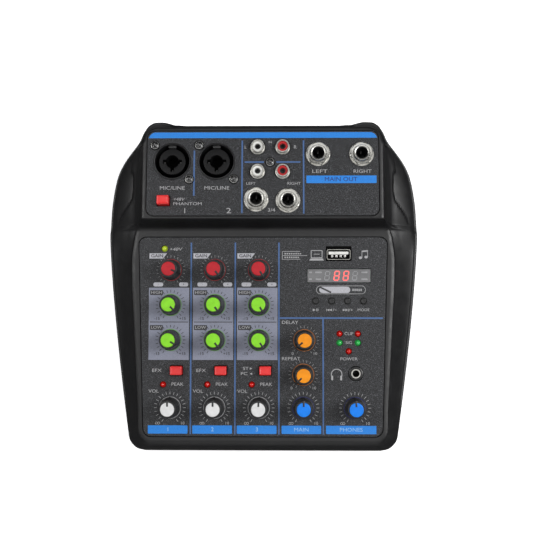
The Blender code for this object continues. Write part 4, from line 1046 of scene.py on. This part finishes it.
        blue.append(bar(23.8, 18.1, 61.8, 22.3, corner=0.3))
        dark.append(lettering("MAIN OUT", 42.5, 20.2, 2.3, top=0.05, squeeze=1.1))
        for key, shapes, finish in (
            ("white", white, "ink_white"), ("line", line, "ink_line"), ("blue", blue, "ink_blue"),
            ("dark", dark, "ink_navy"),
        ):
            put(f"jack_print_{key}", joined(*shapes), finish, JACKS)


# ---------------------------------------------------------------- knobs, buttons and lamps


def knob_radii(sizes):
    """Cap, rim, foot and height in mm; the rim is the grip's upper edge."""
    cap, skirt, top = sizes.cap_radius / MM, sizes.skirt_radius / MM, sizes.knob_height / MM
    return cap, cap + 0.52 * (skirt - cap), skirt, top


def rim_shape(sizes):
    """The black ring round the cap insert, rolled over at its outer edge, with a floor under the insert."""
    cap, rim, _, top = knob_radii(sizes)
    turn = np.linspace(math.pi / 2, 0, 6)
    rolled = [(rim - 0.3 + 0.3 * math.cos(a), top - 0.3 + 0.3 * math.sin(a)) for a in turn]
    return lathe([(0, top - 0.9), (cap + 0.04, top - 0.9), (cap + 0.04, top - 0.12), (cap + 0.16, top), *rolled,
                  (rim, top - 1.0), (rim - 0.15, top - 1.1), (0, top - 1.1)], 96)


def grip_shape(sizes):
    """The tapering grip over a thin foot and the shaft, with 24 shallow flutes.

    The taper is straight; each flute is a raised cosine in the radius that fades out at both ends.
    """
    _, rim, skirt, top = knob_radii(sizes)
    taper = [(rim - 0.02 + (skirt - 0.25 - rim) * t, top - 0.9 - (top - 2.6) * t) for t in np.linspace(0, 1, 8)]
    foot = [(skirt - 0.06, 1.6), (skirt, 1.45), (skirt, 1.05), (skirt - 0.15, 0.9)]
    shaft = [(3.0, 0.9), (3.0, -4.2), (0, -4.2)]
    profile = [(0, top - 1.15), (rim - 0.5, top - 1.15), *taper, *foot, *shaft]

    def flutes(radius, height, angle):
        fade = ease((height - 2.0) / 0.8) * ease((top - 1.2 - height) / 0.8) * (radius > 3.5)
        return radius - 0.13 * fade * (0.5 + 0.5 * np.cos(24 * angle))

    return lathe(profile, 144, flutes)


def pointer_fin(sizes):
    """A black ridge from half way across the cap, over the rim and down the grip to the foot."""
    cap, rim, skirt, top = knob_radii(sizes)
    path = np.array([
        (cap * 0.42, top + 0.08), (cap + 0.3, top + 0.12), (rim, top + 0.04), (rim + 0.30, top - 0.3),
        (rim + 0.50, top - 4.0), (skirt, 4.2), (skirt + 0.22, 2.4), (skirt + 0.25, 1.2),
    ])
    inside = np.array([
        (cap * 0.42, top - 0.6), (cap - 0.3, top - 0.7), (rim - 0.6, top - 0.8), (rim - 0.55, top - 1.0),
        (rim - 0.3, top - 4.4), (skirt - 0.8, 4.0), (skirt - 0.7, 2.2), (skirt - 0.6, 1.2),
    ])
    half = 0.48
    section = [(-half, inside), (-half, path), (-half * 0.55, path + [0.05, 0.08]),
               (half * 0.55, path + [0.05, 0.08]), (half, path), (half, inside)]
    loops = np.stack([np.column_stack([np.full(len(p), x), p[:, 0], p[:, 1]]) for x, p in section], 1)
    rows, cols = loops.shape[:2]
    faces = grid_faces(rows, cols).tolist()
    faces += [list(range(cols)), list(range((rows - 1) * cols, rows * cols))]
    return loops.reshape(-1, 3), faces


def cap_insert(sizes):
    """The coloured disc: a faint dome with a fine turned edge."""
    cap, top = sizes.cap_radius / MM, sizes.knob_height / MM
    profile = [(0, top + 0.03)]
    profile += [(r * (cap - 0.18), top + 0.03 - 0.05 * r * r) for r in np.linspace(0.15, 1, 8)]
    profile += [(cap - 0.04, top - 0.10), (cap, top - 0.22), (cap, top - 0.85), (0, top - 0.85)]
    return lathe(profile, 56)


class CONSOLE_OT_knobs(bpy.types.Operator):
    """Builds the rotary knobs with their fluted grips, pointers and coloured caps"""

    bl_idname = "console.knobs"
    bl_label = "Knobs"

    def execute(self, context):
        sizes = context.scene.console_sizes
        shapes = {
            "grip": (grip_shape(sizes), "knob_grip"),
            "rim": (joined(rim_shape(sizes), pointer_fin(sizes)), "knob_plastic"),
            "cap": (cap_insert(sizes), None),
        }
        for name, (colour, angle) in KNOBS.items():
            place = knob_place(name)
            for part, (shape, finish) in shapes.items():
                finish = finish or f"cap_{colour}"
                stands_for = (name,) if part == "grip" else ()
                put(f"{name}_{part}", shape, finish, CONTROL, place, -angle, name, stands_for)
        return {"FINISHED"}


class CONSOLE_OT_buttons(bpy.types.Operator):
    """Builds the red push switch caps and the round media buttons"""

    bl_idname = "console.buttons"
    bl_label = "Buttons"

    def execute(self, context):
        cap = soft_block(6.4, 4.8, 0.55, 4.5, -3.8, 0.5, 5, dish=0.18)
        for name in SWITCHES + ["phantom_switch"]:
            panel = JACKS if name == "phantom_switch" else CONTROL
            put(f"{name}_cap", cap, "button_red", panel, panel.find(name), 0.0, name, (name,))
        profile = [(0, 0.38), (0.8, 0.40), (1.25, 0.48), (1.45, 0.42), (1.6, 0.18), (1.6, -7.2), (0, -7.2)]
        button = lathe(profile, 40)
        collar = lathe([(1.78, 0.10), (2.05, 0.10), (2.12, 0.03), (2.12, -1.0), (1.78, -1.0)], 40)
        collars = []
        for name in MEDIA_BUTTONS:
            place = CONTROL.find(name)
            put(f"{name}_cap", button, "knob_plastic", CONTROL, place, 0.0, name, (name,))
            collars.append(moved(collar, *place))
        put("media_collars", joined(*collars), "bezel_black", CONTROL)
        return {"FINISHED"}


def lamp_shape():
    """A 3 mm lamp: a dome of sin and cos on a short cylinder with a flange under the panel."""
    radius = 1.35
    turn = np.linspace(0.18, math.pi / 2, 10)
    dome = [(radius * math.sin(a), 0.2 + radius * math.cos(a)) for a in turn]
    return lathe([(0, 0.2 + radius), *dome, (radius, -2.2), (1.75, -2.3), (1.75, -3.4), (0, -3.4)], 32)


class CONSOLE_OT_lamps(bpy.types.Operator):
    """Builds the indicator lamps"""

    bl_idname = "console.lamps"
    bl_label = "Lamps"

    def execute(self, context):
        lamp = lamp_shape()
        groups = {"lens_red": [], "lens_green": []}
        for name, (x, y) in led_places().items():
            shape = moved(lamp, x, y)
            if name.startswith("signal"):
                groups["lens_green"].append(shape)
            elif name in ("power_led", "clip_led_left", "clip_led_right"):
                groups["lens_red"].append(shape)
            else:
                finish = "lens_lime" if name == "phantom_led" else "lens_red"
                put(f"{name}_lens", shape, finish, CONTROL, stands_for=(name,))
        block = soft_block(15, 14.6, 0.5, -3.5, -11.0, 0.3, 2, (METER_X, METER_ROWS[1]))
        put("meter_holder", block, "bezel_black", CONTROL, stands_for=("meter_led_block",))
        put("meter_lenses_red", joined(*groups["lens_red"]), "lens_red", CONTROL)
        put("meter_lenses_green", joined(*groups["lens_green"]), "lens_green", CONTROL)
        return {"FINISHED"}


def segment_digit(x, y, height, lean, thick, top):
    """A figure 8 of seven slanted bars with pointed ends."""
    w, h = height * 0.52, height / 2
    lines = (
        ((0, 2 * h), (w, 2 * h)), ((w, 2 * h), (w, h)), ((w, h), (w, 0)), ((0, 0), (w, 0)),
        ((0, 0), (0, h)), ((0, h), (0, 2 * h)), ((0, h), (w, h)),
    )
    shapes = []
    for line in lines:
        a, b = np.array(line, float)
        along = (b - a) / np.linalg.norm(b - a)
        side = np.array([-along[1], along[0]]) * thick / 2
        a, b = a + along * 0.12, b - along * 0.12
        outline = np.array([a, a + along * thick / 2 - side, b - along * thick / 2 - side, b,
                            b - along * thick / 2 + side, a + along * thick / 2 + side])
        outline[:, 0] += outline[:, 1] * lean
        shapes.append(slab(outline + [x - w / 2 - h * lean, y - h], top, top - 0.08))
    return shapes


class CONSOLE_OT_display(bpy.types.Operator):
    """Builds the display window with its lit and unlit segments"""

    bl_idname = "console.display"
    bl_label = "Display"

    def execute(self, context):
        x, y = CONTROL.find("display_window")
        window = soft_block(34.6, 7.3, 0.25, -0.15, -11.0, 0.12, 3, (x, y))
        put("display_glass", window, "window_grey", CONTROL, stands_for=("display_window",))
        lit = [s for dx in (-1.2, 3.9) for s in segment_digit(x + dx, y, 4.9, 0.14, thick=0.55, top=-0.09)]
        put("display_digits", joined(*lit), "digit_red", CONTROL)
        ghost = [s for dx in (-6.4, 8.8) for s in segment_digit(x + dx, y, 4.6, 0.14, thick=0.5, top=-0.10)]
        for dx, upper, lower in ((-15.6, 1.6, 1.6), (-11.2, 3.6, 3.0), (14.0, 3.4, 3.4)):
            for dy, width in ((1.9, upper), (-1.9, lower)):
                mark = slab(rounded_rectangle(width, 0.9, 0.2, 3), -0.10, -0.18)
                ghost.append(moved(mark, x + dx, y + dy))
        put("display_ghost", joined(*ghost), "window_ghost", CONTROL)
        return {"FINISHED"}


# ---------------------------------------------------------------- sockets and fasteners


def insert_shape():
    """A disc whose keyhole is a polar curve: a round hole widened by two side slots and a lower wedge."""
    sides = 180
    angle = np.arange(sides) * TAU / sides - math.pi / 2
    hole = np.full(sides, 3.6)
    for middle, reach, half in ((0.0, 5.2, 1.15), (math.pi, 5.2, 1.15), (-math.pi / 2, 5.5, 1.0)):
        away = np.abs((angle - middle + math.pi) % TAU - math.pi)
        lobe = np.minimum(reach, half / np.maximum(np.sin(np.clip(away, 1e-3, math.pi / 2)), 1e-3))
        hole = np.where(away < 0.6, np.maximum(hole, lobe), hole)
    rim = np.ones(sides)
    edge = hole + 0.12
    levels = [(7.25 * rim, -11.2), (7.25 * rim, -1.25), (7.1 * rim, -1.05), (6.9 * rim, -1.0), (edge, -1.0)]
    levels += [(hole, -1.15), (hole, -11.2)]
    loops = [np.stack([r * np.cos(angle), r * np.sin(angle), np.full(sides, z)], -1) for r, z in levels]
    return np.vstack(loops), grid_faces(len(loops), sides, close_rows=True).tolist()


class CONSOLE_OT_combo_sockets(bpy.types.Operator):
    """Builds the combined round and quarter-inch inputs"""

    bl_idname = "console.combo_sockets"
    bl_label = "Combined inputs"

    def execute(self, context):
        collar = lathe([
            (10.15, -1.2), (10.15, 0.10), (9.95, 0.32), (9.6, 0.36), (9.42, 0.25), (9.35, 0.0), (9.35, -11.6),
            (10.0, -11.6), (10.0, -2.6), (11.4, -2.6), (11.4, -1.5), (10.15, -1.5),
        ], 96)
        # A black disc closing the hole's far end: painted shade, so the socket's depth reads dark.
        floor = lathe([(0, -11.4), (9.6, -11.4), (9.6, -21.0), (0, -21.0)], 48)
        latch = soft_block(4.2, 1.8, 0.3, -1.3, -6.0, 0.25, 3, (0, 8.5))
        pin = lathe([(0, -3.4), (0.45, -3.5), (0.6, -3.9), (0.6, -11.6), (0, -11.6)], 16)
        contacts = joined(*(moved(pin, *spot) for spot in ((-4.4, 0), (4.4, 0), (0, -4.5))))
        press_ring = lathe([(10.45, 0.02), (10.6, 0.06), (11.25, 0.06), (11.4, -0.04), (10.45, -0.04)], 96)
        insert = insert_shape()
        for name in COMBOS:
            place = JACKS.find(name)
            put(f"{name}_collar", joined(collar, latch), "socket_black", JACKS, place,
                stands_for=(name,))
            put(f"{name}_floor", floor, "deep_black", JACKS, place)
            put(f"{name}_insert", insert, "insert_grey", JACKS, place)
            # The contacts take the dark metal: painted shade inside the hole.
            put(f"{name}_contacts", contacts, "pin_dark", JACKS, place)
            put(f"{name}_press_ring", press_ring, "panel_paint", JACKS, place)
        return {"FINISHED"}


def hexagon(radius, height, angle):
    """A hexagon's polar radius, rounded off where the chamfer's circle is the smaller."""
    apothem, bore = 5.75, 5.2
    turn = (angle + math.pi / 6) % (math.pi / 3) - math.pi / 6
    chamfer = 6.62 - 0.9 * ease((height - 1.9) / 0.5)
    return np.where(radius > bore, np.minimum(apothem / np.cos(turn), chamfer), radius)


class CONSOLE_OT_phone_sockets(bpy.types.Operator):
    """Builds the quarter-inch sockets with their washers, nuts and threaded bushes"""

    bl_idname = "console.phone_sockets"
    bl_label = "Quarter-inch sockets"

    def execute(self, context):
        turns = {"stereo_jack_left": 90, "stereo_jack_right": 62, "main_jack_left": 78, "main_jack_right": 100}
        nut = lathe([
            (4.6, 2.3), (5.3, 2.4), (5.6, 2.3), (6.0, 2.05), (6.6, 1.7), (6.6, 0.75), (6.3, 0.62), (4.6, 0.62),
        ], 144, hexagon)
        washer = lathe([(4.6, 0.6), (6.55, 0.6), (6.7, 0.5), (6.7, 0.32), (4.6, 0.32)], 72)
        thread = [(4.5 - 0.13 * (k % 2), 3.3 - 0.22 * k) for k in range(16)]
        mouth = [(3.3, 3.45), (3.42, 3.68), (3.7, 3.8), (4.15, 3.8), (4.36, 3.62)]
        bush = lathe([*mouth, *thread, (4.4, -1.4), (3.3, -1.4)], 72)
        sleeve = lathe([(3.05, 3.3), (3.28, 3.35), (3.28, -12.0), (3.05, -12.0)], 48)
        body = lathe([(0, -12.0), (6.0, -12.0), (6.0, -21.6), (0, -21.6)], 32)
        spring = soft_block(1.0, 2.2, 0.2, -4.5, -11.0, 0.2, 2, (0, 2.3))
        for name in PHONE_JACKS:
            place = JACKS.find(name)
            fastener = name.replace("jack", "nut")
            put(f"{fastener}_hex", joined(nut, washer), "nickel", JACKS, place, turns[name],
                stands_for=(fastener,))
            put(f"{name}_bush", bush, "nickel", JACKS, place)
            put(f"{name}_sleeve", joined(sleeve, body), "socket_black", JACKS, place,
                stands_for=(name,))
            # The spring takes the dark metal: painted shade inside the hole.
            put(f"{name}_contact", spring, "pin_dark", JACKS, place)
        return {"FINISHED"}


class CONSOLE_OT_phono_sockets(bpy.types.Operator):
    """Builds the four phono sockets with white and red insulators"""

    bl_idname = "console.phono_sockets"
    bl_label = "Phono sockets"

    def execute(self, context):
        sleeve = lathe([
            (2.85, 2.85), (2.97, 3.0), (3.5, 3.0), (3.65, 2.85), (3.65, 0.35), (3.95, 0.3), (3.95, -1.6),
            (2.85, -1.6),
        ], 56)
        insulator = lathe([(1.6, 1.7), (1.8, 2.0), (2.6, 2.1), (2.83, 2.0), (2.83, -1.6), (1.6, -1.6)], 48)
        cup = lathe([(1.2, 0.6), (1.5, 0.6), (1.57, 0.4), (1.57, -7.5), (1.2, -7.5)], 32)
        body = soft_block(26, 24.6, 0.5, -1.6, -21.6, 0.2, 2, JACKS.find("rca_block"))
        put("phono_body", body, "socket_black", JACKS, stands_for=("rca_block",))
        places = rca_places()
        # The cups take the dark metal: painted shade inside the holes.
        for key, shape, finish, spots, slot in (
            ("sleeves", sleeve, "nickel", places, "steel"), ("cups", cup, "pin_dark", places, "steel"),
            ("insulator_white", insulator, "insulator_white", places[0::2], "socket"),
            ("insulator_red", insulator, "insulator_red", places[1::2], "socket"),
        ):
            put(f"phono_{key}", joined(*(moved(shape, *spot) for spot in spots)), finish, JACKS)
        return {"FINISHED"}


def screw_head():
    """A shallow dome over a polar grid, sunk where the two arms of the driver's cross lie."""
    sides = 96
    radii = np.concatenate([np.linspace(0.12, 1.55, 20), [1.7, 1.8, 1.88]])
    angle = np.arange(sides) * TAU / sides
    r, a = np.meshgrid(radii, angle, indexing="ij")
    x, y = r * np.cos(a), r * np.sin(a)
    height = 0.6 + 0.6 * np.sqrt(np.clip(1 - (r / 1.9) ** 2, 0, 1))
    arm = 0.40 + 0.06 * (1.4 - r)
    inside = ease((arm - np.minimum(np.abs(x), np.abs(y))) / 0.10) * ease((1.45 - r) / 0.12)
    height = height - inside * (0.9 - 0.25 * r)
    top = np.stack([x, y, height], -1).reshape(-1, 3)
    rest = lathe([(1.88, 0.55), (1.88, 0.12), (1.15, 0.12), (1.15, -8.0), (0, -8.0)], sides)
    points = np.vstack([top, rest[0], [[0, 0, 0.25]]])
    faces = grid_faces(len(radii), sides).tolist()
    faces += [[i + len(top) for i in face] for face in rest[1]]
    here = np.arange(sides)
    following = (here + 1) % sides
    last, first = (len(radii) - 1) * sides, len(top)
    faces += np.stack([last + here, last + following, first + following, first + here], -1).tolist()
    pole = np.full(sides, len(points) - 1)
    faces += np.stack([pole, here, following], -1).tolist()
    return points, faces


class CONSOLE_OT_screws(bpy.types.Operator):
    """Builds the cross-head panel screws: bright steel on each rim paints a highlight, dark steel on each head
    paints shade, and a flat black ring round each head paints its shadow
    """

    bl_idname = "console.screws"
    bl_label = "Screws"

    def execute(self, context):
        head = screw_head()
        rim = lathe([(1.90, 0.55), (2.0, 0.72), (2.12, 0.70), (2.25, 0.50), (2.25, 0.10), (1.90, 0.10)], 48)
        # A flat black ring on the panel round the head: painted shadow.
        shadow_ring = lathe([(2.27, 0.16), (2.6, 0.16), (2.72, 0.03), (2.72, -0.04), (2.27, -0.04)], 48)
        for name, turn in zip(SCREWS, (12, 50, 34, 71, 22)):
            place = JACKS.find(name)
            # Dark steel on the head paints shade; bright steel on the rim paints a highlight.
            put(f"{name}_head", head, "screw_dark", JACKS, place, turn, stands_for=(name,))
            put(f"{name}_rim", rim, "screw_steel", JACKS, place)
            put(f"{name}_seat", shadow_ring, "deep_black", JACKS, place)
        return {"FINISHED"}


class CONSOLE_OT_small_sockets(bpy.types.Operator):
    """Builds the headphone socket and both bus sockets"""

    bl_idname = "console.small_sockets"
    bl_label = "Headphone and bus sockets"

    def execute(self, context):
        place = CONTROL.find("headphone_jack")
        outer = lathe([(2.75, 0.75), (3.5, 0.78), (3.85, 0.6), (3.95, 0.3), (3.95, -3.0), (2.75, -3.0)], 56)
        bush = lathe([(1.8, 0.62), (1.95, 0.8), (2.5, 0.82), (2.7, 0.66), (2.7, -3.0), (1.8, -3.0)], 48)
        tube = lathe([(1.76, 0.5), (1.79, 0.5), (1.79, -10.0), (1.6, -10.0)], 32)
        body = soft_block(9, 9, 0.4, -9.6, -11.0, 0.2, 2)
        put("headphone_ring", joined(outer, tube, body), "socket_black", CONTROL, place,
            stands_for=("headphone_jack",))
        put("headphone_bush", bush, "nickel", CONTROL, place)
        self.front_bus()
        self.back_bus()
        return {"FINISHED"}

    def front_bus(self):
        """The flat socket: a thin shell with a pale tongue and four contacts, edged in black that paints shade and
        shadow.
        """
        place = CONTROL.find("usb_a_port")
        shell = self.tube(13.1, 5.8, 0.35, 1.1, 0.25, -10.5)
        tongue = soft_block(11.0, 1.6, 0.2, -0.9, -10.4, 0.2, 2, (0, 0.9))
        # A black liner inside the shell: painted shade.
        shell_shade = soft_block(12.3, 5.0, 0.2, -2.6, -10.3, 0.1, 2)
        contact = soft_block(1.1, 1.3, 0.05, -1.4, -9.0, 0.05, 2, (0, -0.75))
        contacts = [moved(contact, x) for x in (-3.5, -1.2, 1.2, 3.5)]
        # A black ring in the gap round the shell and a black strip over the opening's top edge: painted shade and
        # shadow.
        gap_shade = band(rounded_rectangle(13.2, 5.9, 1.1), rounded_rectangle(14.2, 7.1, 0.5), -0.15, -1.1)
        shadow_strip = soft_block(13.9, 1.7, 0.3, 0.32, -0.05, 0.08, 2, (0, 3.75))
        put("usb_a_shell", shell, "nickel", CONTROL, place, stands_for=("usb_a_port",))
        put("usb_a_tongue", tongue, "tongue_white", CONTROL, place)
        put("usb_a_contacts", joined(*contacts), "nickel_dull", CONTROL, place)
        put("usb_a_surround", joined(gap_shade, shell_shade, shadow_strip), "deep_black", CONTROL, place)

    def back_bus(self):
        """The square socket in the back wall, turned so that its mouth looks backwards."""
        _, high, middle = node_box("usb_b_port")
        shell = self.tube(11.9, 10.9, 0.4, 1.6, 0.0, -15.8)
        tongue = soft_block(5.6, 3.1, 0.3, -2.0, -15.0, 0.3, 2)
        for name, shape, finish, stands in (("usb_b_shell", shell, "nickel", ("usb_b_port",)),
                                            ("usb_b_tongue", tongue, "insulator_white", ())):
            points, faces = shape
            points = np.stack([points[:, 0] + middle[0], high[1] + points[:, 2], points[:, 1] + middle[2]], -1)
            put(name, (points, faces), finish, stands_for=stands)

    def tube(self, width, length, wall, corner, top, bottom):
        """A square tube with rounded corners and rolled lips, closed at the back."""
        levels = [(0, bottom), (0, top - 0.15), (0.1, top)]
        levels += [(wall - 0.08, top), (wall, top - 0.12), (wall, bottom + 0.6)]
        outlines = [rounded_rectangle(width - 2 * i, length - 2 * i, max(corner - i, 0.1)) for i, _ in levels]
        return stack(outlines, [z for _, z in levels])


# ---------------------------------------------------------------- base and insides


class CONSOLE_OT_base(bpy.types.Operator):
    """Finishes the base, the feet and the parts inside"""

    bl_idname = "console.base"
    bl_label = "Base and insides"

    def execute(self, context):
        for node, finish in (
            ("bottom_cover", "housing_plastic"), ("main_board", "board_green"),
            ("jack_board", "board_green"), ("ribbon_cable", "cable_grey"),
        ):
            for slot in frame["nodes"][node].material_slots:
                slot.material = FINISHES[finish]
        foot = lathe([
            (0, 1.4), (2.2, 1.4), (2.2, 0.3), (2.5, 0.0), (5.6, 0.0), (6.05, 0.4), (6.35, 2.5), (6.4, 2.9),
            (0, 2.9),
        ], 64)
        head = lathe([(0, 1.0), (0.5, 0.7), (1.6, 0.62), (1.9, 0.9), (1.9, 1.5), (0, 1.5)], 40)
        for name in FEET:
            place = node_box(name)[2][:2]
            put(f"{name}_pad", foot, "rubber_black", at=place, stands_for=(name,))
            put(f"{name}_screw", head, "nickel_dull", at=place)
        return {"FINISHED"}


# ---------------------------------------------------------------- stage


class CONSOLE_OT_stage(bpy.types.Operator):
    """Sets up the pale floor, the soft lights and the camera"""

    bl_idname = "console.stage"
    bl_label = "Stage"

    def execute(self, context):
        scene = context.scene
        finish = Finish("floor_pale", (0.90, 0.90, 0.90), 0.9)
        finish.shader.inputs["Emission Color"].default_value = (1, 1, 1, 1)
        finish.shader.inputs["Emission Strength"].default_value = 0.7
        finish.relief(finish.noise(30, 2), 0.02, 0.05)
        finish.vary_colour(finish.noise(120, 2), 0.995, 1.005)
        mesh = bpy.data.meshes.new("floor")
        half = 4.0
        corners = [(-half, -half, 0), (half, -half, 0), (half, half, 0), (-half, half, 0)]
        mesh.from_pydata(corners, [], [(0, 1, 2, 3)])
        mesh.materials.append(finish.material)
        floor = bpy.data.objects.new("floor", mesh)
        floor.location.z = -0.0002
        floor.visible_glossy = False
        scene.collection.objects.link(floor)

        world = scene.world or bpy.data.worlds.new("studio")
        scene.world = world
        world.use_nodes = True
        world.node_tree.nodes["Background"].inputs["Color"].default_value = (1, 1, 1, 1)
        world.node_tree.nodes["Background"].inputs["Strength"].default_value = 0.09
        scene.view_settings.view_transform = "Standard"
        for name, place, size, power in (
            ("top", (0.0, -0.05, 1.15), 0.8, 2.0), ("left", (-0.65, 0.1, 1.0), 0.4, 3.6),
            ("right", (0.72, 0.0, 0.92), 0.45, 7.5), ("front", (0.0, -0.9, 0.7), 0.8, 1.5),
        ):
            light = bpy.data.lights.new(name, "AREA")
            light.size, light.energy = size, power
            obj = bpy.data.objects.new(name, light)
            obj.location = place
            aim = -np.array(place)
            aim = aim / np.linalg.norm(aim)
            obj.rotation_euler = (math.acos(-aim[2]), 0, math.atan2(aim[1], aim[0]) - math.pi / 2)
            scene.collection.objects.link(obj)

        camera = bpy.data.cameras.new("camera")
        camera.lens, camera.sensor_width = 65.0, 36.0
        camera.clip_start = 0.01
        obj = bpy.data.objects.new("camera", camera)
        right, up, back = (0.999835, 0.003619, -0.017786), (0.0, 0.97992, 0.19937), (0.01815, -0.19934, 0.97976)
        target, distance = np.array([0.0020, 0.0090, 0.0350]), 0.530
        place = target + distance * np.array(back)
        rows = np.column_stack([right, up, back, place]).tolist()
        obj.matrix_world = Matrix([*rows, (0, 0, 0, 1)])
        scene.collection.objects.link(obj)
        scene.camera = obj
        return {"FINISHED"}


# ---------------------------------------------------------------- add-on


def colour_property(name, description, default):
    return bpy.props.FloatVectorProperty(
        name=name, description=description, default=default, subtype="COLOR", size=3, min=0, max=1
    )


def length_property(name, description, default):
    return bpy.props.FloatProperty(
        name=name, description=description, default=default, subtype="DISTANCE", unit="LENGTH"
    )


class ConsoleColours(bpy.types.PropertyGroup):
    """Colours of the console's main surfaces"""

    housing: colour_property("Housing", "Colour of the moulded shell", (0.0085, 0.0085, 0.0092))
    panel: colour_property("Panel", "Base colour of the speckled face plates", (0.020, 0.0205, 0.0225))
    stripe: colour_property("Stripe", "Colour of the bright printed bars", (0.012, 0.24, 0.78))
    line: colour_property("Line", "Colour of the printed rules", (0.060, 0.14, 0.34))
    eq_box: colour_property("Tone box", "Colour of the boxes round the tone controls", (0.255, 0.270, 0.345))
    cap_red: colour_property("Red cap", "Colour of the gain caps", (0.52, 0.018, 0.028))
    cap_green: colour_property("Green cap", "Colour of the tone caps", (0.27, 0.76, 0.03))
    cap_white: colour_property("White cap", "Colour of the volume caps", (0.80, 0.80, 0.80))
    cap_orange: colour_property("Orange cap", "Colour of the effect caps", (0.98, 0.32, 0.008))
    cap_blue: colour_property("Blue cap", "Colour of the output caps", (0.010, 0.24, 0.94))
    button: colour_property("Button", "Colour of the push switch caps", (0.80, 0.030, 0.030))


class ConsoleSizes(bpy.types.PropertyGroup):
    """Sizes of the knobs"""

    knob_height: length_property("Knob height", "Top of a knob over the panel", 0.0130)
    cap_radius: length_property("Cap radius", "Radius of the coloured disc", 0.00376)
    skirt_radius: length_property("Skirt radius", "Radius of a knob's foot", 0.0057)


OPERATORS = (
    CONSOLE_OT_stage, CONSOLE_OT_housing, CONSOLE_OT_panels, CONSOLE_OT_printing, CONSOLE_OT_knobs,
    CONSOLE_OT_buttons, CONSOLE_OT_lamps, CONSOLE_OT_display, CONSOLE_OT_combo_sockets,
    CONSOLE_OT_phone_sockets, CONSOLE_OT_phono_sockets, CONSOLE_OT_screws, CONSOLE_OT_small_sockets,
    CONSOLE_OT_base,
)


class CONSOLE_PT_panel(bpy.types.Panel):
    """Lists the console's colours, sizes and pieces"""

    bl_idname = "CONSOLE_PT_panel"
    bl_label = "Mixing Console"
    bl_space_type = "VIEW_3D"
    bl_region_type = "UI"
    bl_category = "Console"

    def draw(self, context):
        for group in (context.scene.console_colours, context.scene.console_sizes):
            for key in group.__annotations__:
                self.layout.prop(group, key)
        for operator in OPERATORS:
            self.layout.operator(operator.bl_idname)


CLASSES = (ConsoleColours, ConsoleSizes, *OPERATORS, CONSOLE_PT_panel)


def register():
    for cls in CLASSES:
        bpy.utils.register_class(cls)
    bpy.types.Scene.console_colours = bpy.props.PointerProperty(type=ConsoleColours)
    bpy.types.Scene.console_sizes = bpy.props.PointerProperty(type=ConsoleSizes)


def unregister():
    del bpy.types.Scene.console_sizes
    del bpy.types.Scene.console_colours
    for cls in reversed(CLASSES):
        bpy.utils.unregister_class(cls)


def main():
    register()
    make_finishes(bpy.context.scene.console_colours)
    for operator in OPERATORS:
        group, name = operator.bl_idname.split(".")
        getattr(getattr(bpy.ops, group), name)()


if __name__ == "__main__":
    main()
